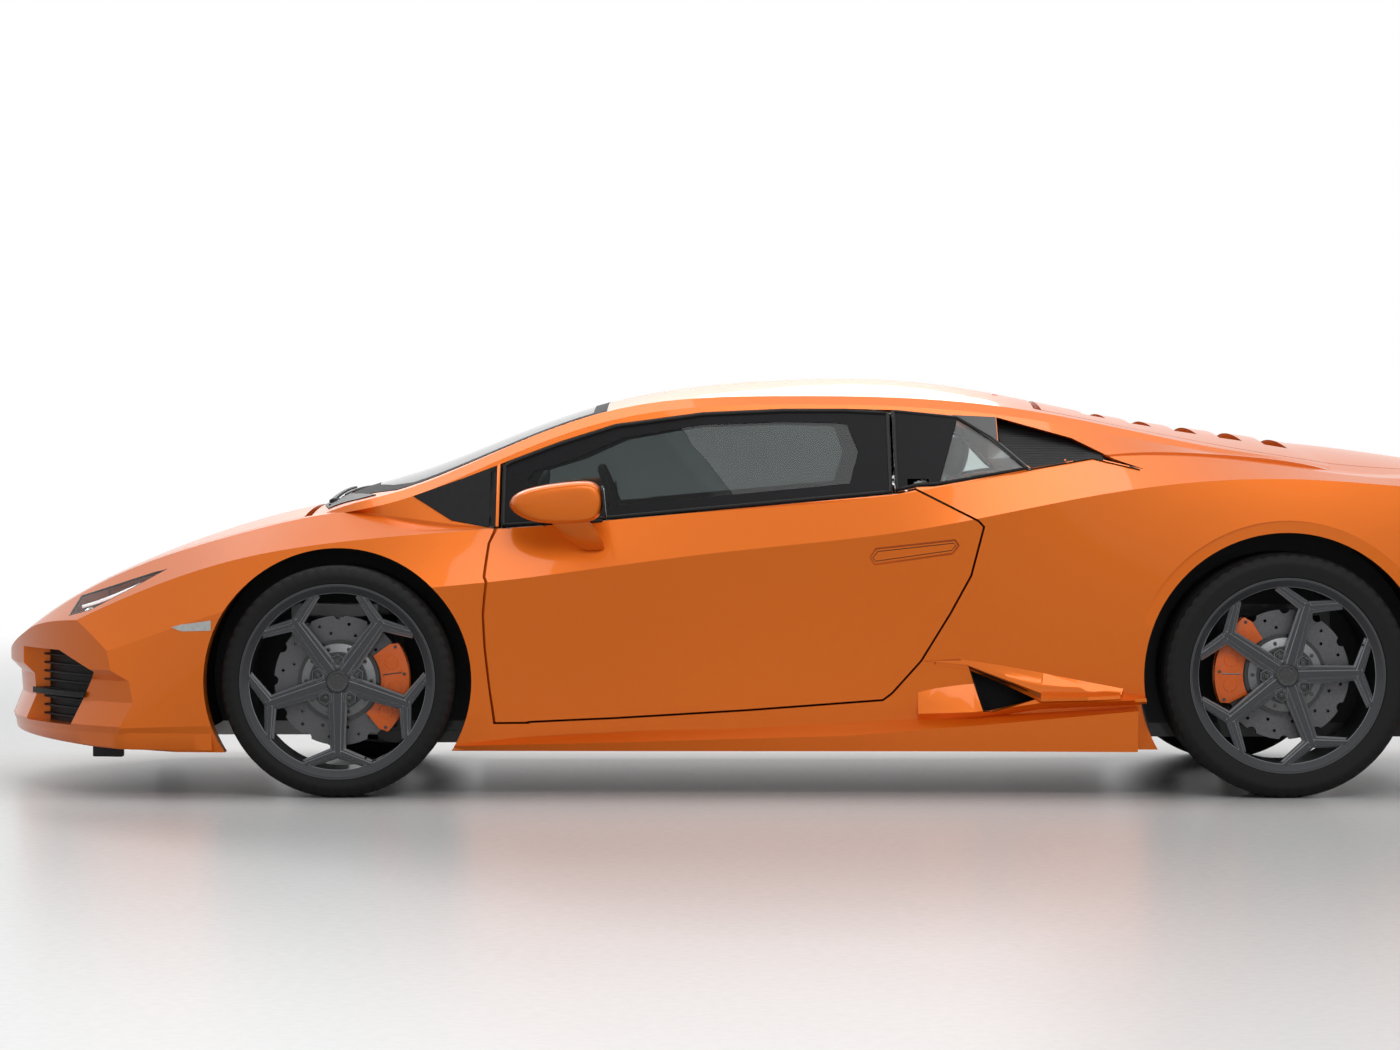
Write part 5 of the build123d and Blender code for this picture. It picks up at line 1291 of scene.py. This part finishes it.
SHELLS = {
    "seat_shell": (LEAN, [
        (-0.285, 0.205, 0.200, 0.020), (-0.315, 0.30, 0.222, 0.024), (-0.375, 0.44, 0.226, 0.024),
        (-0.435, 0.58, 0.222, 0.024), (-0.49, 0.71, 0.210, 0.022), (-0.53, 0.82, 0.178, 0.020),
        (-0.545, 0.89, 0.120, 0.014)]),
    "seat_pan": (UP, [
        (-0.30, 0.185, 0.180, 0.010), (-0.25, 0.180, 0.215, 0.016), (0.0, 0.176, 0.222, 0.016),
        (0.22, 0.178, 0.215, 0.016), (0.285, 0.185, 0.180, 0.010)]),
}


def pad_along(name, y, front, rows, way=0):
    """A pad whose middle follows the rows, with their half sizes."""
    front = Vector(front).normalized()
    return lofted_pad(name, [
        pad_ring(Vector((x, y + way * sum(offset), z)), Vector((0, 1, 0)), front, width, depth)
        for x, z, width, depth, *offset in rows])


def mirrored_copy(piece):
    """The same mesh on the other side of the centre plane."""
    mesh = piece.data.copy()
    for vertex in mesh.vertices:
        vertex.co.y = -vertex.co.y
    mesh.flip_normals()
    return new_piece(piece.name.replace("left", "right"), mesh)


def finish_pad(piece):
    finish_piece(piece, LEATHER, "body", 60.0)
    return piece


pads = [pad_along(f"left_{name}", SEAT_Y, *rows) for name, rows in MIDDLE_PADS.items()]
for wing, way in (("inner", -1), ("outer", 1)):
    pads += [pad_along(f"left_{name}_{wing}", SEAT_Y, *rows, way)
             for name, rows in WING_PADS.items()]
for piece in pads:
    swell(piece)
    apply_modifier(piece, "SUBSURF", levels=1)
    finish_pad(piece)
    finish_pad(mirrored_copy(piece))
for side, sign in SIDES:
    for name, rows in SHELLS.items():
        shell = pad_along(f"{side}_{name}", sign * SEAT_Y, *rows)
        apply_modifier(shell, "SUBSURF", levels=1)
        finish_piece(shell, CARBON, "body", 40.0)
        if name == "seat_shell":
            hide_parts("seats")
    for index in range(5):
        x0, z0 = -0.232 - 0.042 * index, 0.438 + 0.085 * index
        line = [Vector((x0, sign * SEAT_Y + w * 0.145, z0)) for w in (-1, -0.5, 0, 0.5, 1)]
        bead(f"{side}_seat_stitch_{index}", line, 0.0022, STITCH, "body", sides=6)
print("two seats of soft pads, shells and pans")

# %% [markdown]
# ## Cabin details
#
# The dashboard of the frame is the moulding. On it go an instrument hood with a dark
# screen, a middle screen, round air vents, a console with a selector and switches, and
# pedals below. The steering wheel gets stitching and a plain centre.

# %% Instruments and vents
DASH_Y = 0.372
hood_place, _ = drop(skin_of("dashboard"), "top", 0.72, DASH_Y)


def dash_face(origin, lean):
    """Places (across, up, out) on a panel that faces the seats and leans back."""
    c, s = math.cos(lean), math.sin(lean)
    return lambda a, b, h: (origin.x - h * c + b * s, origin.y + a, origin.z + b * c + h * s)


panel_place = dash_face(Vector((0.655, DASH_Y, hood_place.z + 0.030)), 0.30)
plate_piece("instrument_frame", rounded_rectangle(0.150, 0.058, 0.030), (0.0, 0.016),
            SOFT_PLASTIC, "body", 0.003, place=panel_place)
plate_piece("instrument_screen", rounded_rectangle(0.138, 0.046, 0.022), (0.014, 0.0185),
            SCREEN_GLASS, "body", 0.001, place=panel_place)
hood = []
for step in range(17):
    angle = math.pi * step / 16
    hood.append(Vector((0.668 - 0.018 * math.sin(angle), DASH_Y + 0.168 * math.cos(angle),
                        hood_place.z + 0.012 + 0.092 * math.sin(angle) ** 0.6)))
bead("instrument_hood", hood, 0.011, LEATHER, "body", sides=10)
middle_place = dash_face(Vector((0.640, 0.0, hood_place.z - 0.020)), 0.22)
plate_piece("middle_screen_frame", rounded_rectangle(0.128, 0.078, 0.012), (0.0, 0.014),
            GLOSS_BLACK, "body", 0.002, place=middle_place)
plate_piece("middle_screen", rounded_rectangle(0.120, 0.068, 0.008), (0.012, 0.0155),
            SCREEN_GLASS, "body", 0.001, place=middle_place)
VENT = [(0.0, 0.0), (0.0, 0.043), (0.012, 0.043), (0.016, 0.038), (0.012, 0.034),
        (0.004, 0.032), (0.003, 0.0)]
for index, y in enumerate((0.600, 0.185, -0.185, -0.560)):
    place = Vector((0.612, y, 0.722))
    turned_piece(f"vent_{index}", VENT, place, (-1, 0, 0.25), SOFT_PLASTIC, "body",
                 start=(0.25, 0, 1))
    for slat in range(4):
        height = -0.021 + 0.014 * slat
        width = math.sqrt(0.031 ** 2 - height ** 2)
        line = [place + Vector((-0.009, w * width, height)) for w in (-1, 0, 1)]
        bead(f"vent_{index}_slat_{slat}", line, 0.0018, BLACK_TRIM, "body", sides=6)
print("instruments, screens and four vents")

# %% Console, selector and pedals
CONSOLE_ROWS = [  # place along the car, half width and height
    (0.600, 0.075, 0.560), (0.520, 0.080, 0.470), (0.380, 0.084, 0.420), (0.120, 0.086, 0.385),
    (-0.120, 0.088, 0.375), (-0.330, 0.088, 0.400), (-0.480, 0.084, 0.420),
]
CONSOLE_RISE = 0.12
BUTTON = [(0.0, 0.0), (0.0, 0.013), (0.006, 0.0122), (0.0075, 0.010), (0.0068, 0.0)]
console = lofted_pad("console", [
    [Vector((x, half * c, z + 0.001)) for c, z in
     ((-1.0, 0.345), (-1.05, top - 0.030), (-0.86, top), (0.0, top + 0.006), (0.86, top),
      (1.05, top - 0.030), (1.0, 0.345))]
    for x, half, top in CONSOLE_ROWS
])
apply_modifier(console, "SUBSURF", levels=2)
finish_piece(console, LEATHER, "body", 50.0)
plate_piece("console_panel", rounded_rectangle(0.110, 0.046, 0.014), (0.0, 0.004), GLOSS_BLACK,
            "body", 0.001, place=lambda a, b, h: (0.265 + a, b, 0.405 + CONSOLE_RISE * a + h))
for index in range(6):
    x, y = 0.200 + 0.055 * (index % 3), -0.022 + 0.044 * (index // 3)
    turned_piece(f"console_button_{index}", BUTTON, (x, y, 0.4085 + CONSOLE_RISE * (x - 0.265)),
                 (0, 0, 1), ALUMINIUM, "body", start=(1, 0, 0))
plate_piece("selector", rounded_rectangle(0.030, 0.020, 0.010), (0.0, 0.030), CHROME, "body",
            0.005, place=lambda a, b, h: (0.075 + a * (1 - 6 * h), b * (1 - 4 * h), 0.385 + h))
for name, y, width in (("brake_pedal", 0.330, 0.042), ("throttle_pedal", 0.455, 0.026)):
    def on_pedal(a, b, h, y=y):
        return (0.985 + 0.45 * b - h, y + a, 0.285 + b)

    plate_piece(name, rounded_rectangle(width, 0.050, 0.008), (0.0, 0.006), ALUMINIUM, "body",
                0.0015, place=on_pedal)
    bead(f"{name}_arm", [(1.005, y, 0.300), (1.030, y, 0.42), (1.050, y, 0.54)],
         [0.007, 0.008, 0.009], BLACK_TRIM, "body")
    for row in range(4):
        b = -0.034 + 0.0225 * row
        line = [Vector(on_pedal(w * width * 0.8, b, 0.0075)) for w in (-1, 0, 1)]
        bead(f"{name}_grip_{row}", line, 0.0028, SEAL_RUBBER, "body", sides=6)
print("console, selector, buttons and pedals")

# %% Door cards and armrests
DOOR_CARD = [(700, 300), (716, 560), (690, 700), (480, 735), (100, 772), (-330, 812),
             (-500, 742), (-470, 660), (-262, 310)]
CARD_SEAM = [(660, 640), (480, 668), (100, 700), (-300, 735)]
ARMREST = [(0.300, 0.012, 0.010), (0.280, 0.026, 0.020), (0.150, 0.032, 0.024),
           (-0.050, 0.034, 0.026), (-0.200, 0.030, 0.022), (-0.225, 0.014, 0.010)]
REST_Z, PULL_Z, PULL_STEPS = 0.575, 0.648, 8
for side, sign in SIDES:
    body = f"{side}_door"
    lining = skin_of(body)
    inner = f"{side}_inner"
    skin_patch(f"{side}_door_card", DOOR_CARD, lining, inner, LEATHER, body, 0.007, 0.006, 0.05)
    skin_line(f"{side}_card_seam", CARD_SEAM, lining, inner, STITCH, body, 0.0082, 0.0016)
    rest_rings = []
    for x, half_depth, half_height in ARMREST:
        place, _ = drop(lining, inner, x, REST_Z)
        centre = Vector((x, place.y - sign * (0.012 + half_depth), REST_Z))
        rest_rings.append(pad_ring(centre, Vector((0, 1, 0)), Vector((0, 0, 1)),
                                   half_depth, half_height, 2.8, 20))
    armrest = lofted_pad(f"{side}_armrest", rest_rings)
    apply_modifier(armrest, "SUBSURF", levels=2)
    finish_piece(armrest, LEATHER, body, 60.0)
    pull = []
    for step in range(PULL_STEPS + 1):
        x = 0.330 - 0.020 * step
        place, _ = drop(lining, inner, x, PULL_Z)
        reach = 0.010 + 0.028 * math.sin(math.pi * step / PULL_STEPS)
        pull.append(Vector((x, place.y - sign * reach, PULL_Z)))
    bead(f"{side}_door_pull", pull, 0.006, ALUMINIUM, body, sides=12)
print("door cards on", len(SIDES), "doors")

# %% Steering wheel dressing
turn = joint("steering_wheel_turn")
wheel_centre, wheel_axis = Vector(turn["pos_m"]), Vector(turn["axis"]).normalized()
if wheel_axis.x > 0:
    wheel_axis = -wheel_axis
wheel_up = Vector((wheel_axis.z, 0, -wheel_axis.x)).normalized()
if wheel_up.z < 0:
    wheel_up = -wheel_up
WHEEL_PAD = [(0.010, 0.0), (0.010, 0.052), (0.020, 0.052), (0.027, 0.044), (0.030, 0.030),
             (0.031, 0.0)]
PAD_RING = [(0.0265, 0.019), (0.0265, 0.022), (0.0325, 0.0225), (0.0325, 0.0185)]
GRIP_CIRCLE, GRIP_RADIUS, STITCHES = 0.164, 0.0142, 36
turned_piece("wheel_pad", WHEEL_PAD, wheel_centre, wheel_axis, LEATHER, "steering_wheel",
             start=wheel_up)
turned_piece("wheel_pad_ring", PAD_RING, wheel_centre, wheel_axis, CHROME, "steering_wheel",
             start=wheel_up)
wheel_side = wheel_axis.cross(wheel_up)
for index in range(STITCHES):
    angle = 2 * math.pi * index / STITCHES
    out = math.cos(angle) * wheel_side + math.sin(angle) * wheel_up
    seam = []
    for step in range(5):
        around = math.radians(-30 + 15 * step)
        seam.append(wheel_centre + out * (GRIP_CIRCLE - GRIP_RADIUS * math.cos(around))
                    + wheel_axis * GRIP_RADIUS * math.sin(around))
    bead(f"wheel_stitch_{index}", seam, 0.0009, STITCH, "steering_wheel", sides=5)
print("steering wheel dressed")

# %% [markdown]
# ## Engine bay
#
# The engine's block is plain in the frame. Over it go two ribbed cam covers, an inlet
# plenum with runners, belts' cover, hoses and two braces across the bay, all seen
# through the louvres and with the cover open.

# %% Engine dressing
def ribbed_cover(name, y_low, y_high, x_low, x_high, z, height, material):
    """A long cover with rounded ends and cross ribs."""
    half_length, half_width = (x_high - x_low) / 2, (y_high - y_low) / 2
    centre_x, centre_y = (x_low + x_high) / 2, (y_low + y_high) / 2
    plate_piece(name, rounded_rectangle(half_length, half_width, 0.022), (0.0, height), material,
                "body", 0.009, place=lambda a, b, h: (centre_x + a, centre_y + b, z + h))
    for rib in range(7):
        x = x_low + 0.05 + (x_high - x_low - 0.10) * rib / 6
        line = [(x, y_low + 0.018, z + height), (x, centre_y, z + height + 0.003),
                (x, y_high - 0.018, z + height)]
        bead(f"{name}_rib_{rib}", line, 0.0050, material, "body")


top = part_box("engine")[1].z
for side, sign in SIDES:
    low_y, high_y = sorted((sign * 0.215, sign * 0.365))
    ribbed_cover(f"{side}_cam_cover", low_y, high_y, -1.395, -0.925, top - 0.004, 0.052,
                 COVER_CRACKLE)
ribbed_cover("inlet_plenum", -0.085, 0.085, -1.370, -0.950, top + 0.052, 0.070, COVER_CRACKLE)
RUNNER = [(0.075, 0.090), (0.125, 0.098), (0.170, 0.080), (0.205, 0.046), (0.222, 0.020)]
for index in range(5):
    x = -1.330 + 0.088 * index
    for side, sign in SIDES:
        runner = [(x, sign * y, top + height) for y, height in RUNNER]
        bead(f"{side}_runner_{index}", runner, 0.017, ALUMINIUM, "body", sides=14)
plate_piece("belt_cover", rounded_rectangle(0.26, 0.12, 0.05), (0.0, 0.030), BLACK_TRIM, "body",
            0.006, place=lambda a, b, h: (-0.858 + h, a, 0.470 + b))
BAY_LINES = [  # name, radius, material, sides, and the left one's line
    ("brace", 0.013, CAP_BLACK, 12, [
        (-1.42, 0.585, 0.735), (-1.30, 0.40, 0.752), (-1.06, 0.12, 0.800),
        (-0.86, 0.05, 0.812), (-0.760, 0.045, 0.806)]),
    ("hose", 0.020, SEAL_RUBBER, 14, [
        (-1.44, 0.30, 0.60), (-1.50, 0.36, 0.62), (-1.58, 0.42, 0.60), (-1.64, 0.43, 0.52),
        (-1.66, 0.40, 0.42)]),
]
for side, sign in SIDES:
    for name, radius, material, sides, line in BAY_LINES:
        bead(f"{side}_{name}", [(x, sign * y, z) for x, y, z in line], radius, material, "body",
             sides=sides)
silencer = lofted_pad("silencer", [
    pad_ring(Vector((x, 0, 0.37)), Vector((0, 1, 0)), Vector((0, 0, 1)), w, h, 2.6, 32)
    for x, w, h in ((-1.575, 0.30, 0.050), (-1.60, 0.34, 0.080), (-1.66, 0.35, 0.090),
                    (-1.80, 0.35, 0.090), (-1.86, 0.34, 0.080), (-1.885, 0.30, 0.050))
])
apply_modifier(silencer, "SUBSURF", levels=1)
finish_piece(silencer, STEEL, "body", 45.0)
print("engine dressed; block top at", round(top, 3), "m")

# %% [markdown]
# ## The studio
#
# A pale floor, a white surround that only the camera and mirrors see, and large soft
# lamps that light the car at a plain level.

# %% Floor and world
FLOOR_SIZE, FADE_START, FADE_END, AMBIENT = 60.0, 3.2, 11.0, 0.32
bpy.ops.mesh.primitive_plane_add(size=FLOOR_SIZE, location=(0, 0, 0))
floor = bpy.context.object
floor.name = "studio_floor"
FLOOR_PAINT = speckled("floor_paint", (0.60, 0.61, 0.61), (0.66, 0.67, 0.67), 40, 0.02, 0.001,
                       Roughness=0.28)
floor.data.materials.append(FLOOR_PAINT)


def blend(tree, factor, first, second, target):
    """Mix two shaders by a factor into an output node."""
    mix = add_node(tree, "MixShader", Fac=factor)
    feed(tree, mix.inputs[1], first.outputs[0])
    feed(tree, mix.inputs[2], second.outputs[0])
    feed(tree, target.inputs["Surface"], mix.outputs[0])


tree = FLOOR_PAINT.node_tree
away = add_node(tree, "VectorMath", {"operation": "LENGTH"}, Vector=coordinates(tree))
fade = add_node(tree, "MapRange", {"interpolation_type": "SMOOTHSTEP"}, From_Min=FADE_START,
                From_Max=FADE_END, Value=away.outputs["Value"])
camera_ray = add_node(tree, "LightPath").outputs["Is Camera Ray"]
bright = add_node(tree, "Emission", Color=(1.0, 1.0, 1.0, 1.0))
blend(tree, math_node(tree, "MULTIPLY", fade.outputs["Result"], camera_ray),
      tree.nodes["Principled BSDF"], bright, tree.nodes["Material Output"])

world = bpy.data.worlds.new("studio")
bpy.context.scene.world = world
world.use_nodes = True
tree = world.node_tree
tree.nodes.clear()
surround = add_node(tree, "Background", Color=(1.0, 1.0, 1.0, 1.0))
ambient = add_node(tree, "Background", Color=(1.0, 1.0, 1.0, 1.0), Strength=AMBIENT)
rays = add_node(tree, "LightPath").outputs
seen = math_node(tree, "MAXIMUM", rays["Is Camera Ray"], rays["Is Glossy Ray"])
seen = math_node(tree, "MAXIMUM", seen, rays["Is Transmission Ray"])
blend(tree, seen, ambient, surround, add_node(tree, "OutputWorld"))
print("floor and world ready")


# %% Lamps
def soft_lamp(name, place, aim, size, power):
    """A rectangular soft lamp at a place, turned towards a point."""
    light = bpy.data.lights.new(name, "AREA")
    light.shape = "RECTANGLE"
    light.size, light.size_y = size
    light.energy = power
    lamp = bpy.data.objects.new(name, light)
    lamp.location = place
    lamp.rotation_euler = (Vector(aim) - Vector(place)).to_track_quat("-Z", "Y").to_euler()
    bpy.context.collection.objects.link(lamp)
    return lamp


soft_lamp("overhead", (0.0, 0.0, 4.6), (0.0, 0.0, 0.0), (6.0, 2.4), 130)
soft_lamp("near_side", (-1.5, 6.5, 4.2), (0.0, 0.0, 0.6), (5.0, 2.0), 150)
soft_lamp("far_side", (1.0, -6.5, 4.0), (0.0, 0.0, 0.6), (5.0, 2.0), 120)

# %% Camera
CAMERA_PLACE = Vector((0.2089, 13.955, 1.0))
IMAGE_WIDTH = 1400
FOCAL_PIXELS = 4729
HORIZON_ABOVE_CENTRE = 89.5
SENSOR = 36.0
camera = bpy.data.objects.new("camera", bpy.data.cameras.new("camera"))
camera.data.sensor_width = SENSOR
camera.data.lens = SENSOR * FOCAL_PIXELS / IMAGE_WIDTH
camera.data.clip_end = 200.0
camera.location = CAMERA_PLACE
tilt = math.atan(HORIZON_ABOVE_CENTRE / FOCAL_PIXELS)
camera.rotation_euler = (math.pi / 2 - tilt, 0.0, math.pi)
bpy.context.collection.objects.link(camera)
bpy.context.scene.camera = camera
bpy.context.scene.view_settings.view_transform = "Standard"
print("camera lens", round(camera.data.lens, 1), "mm")
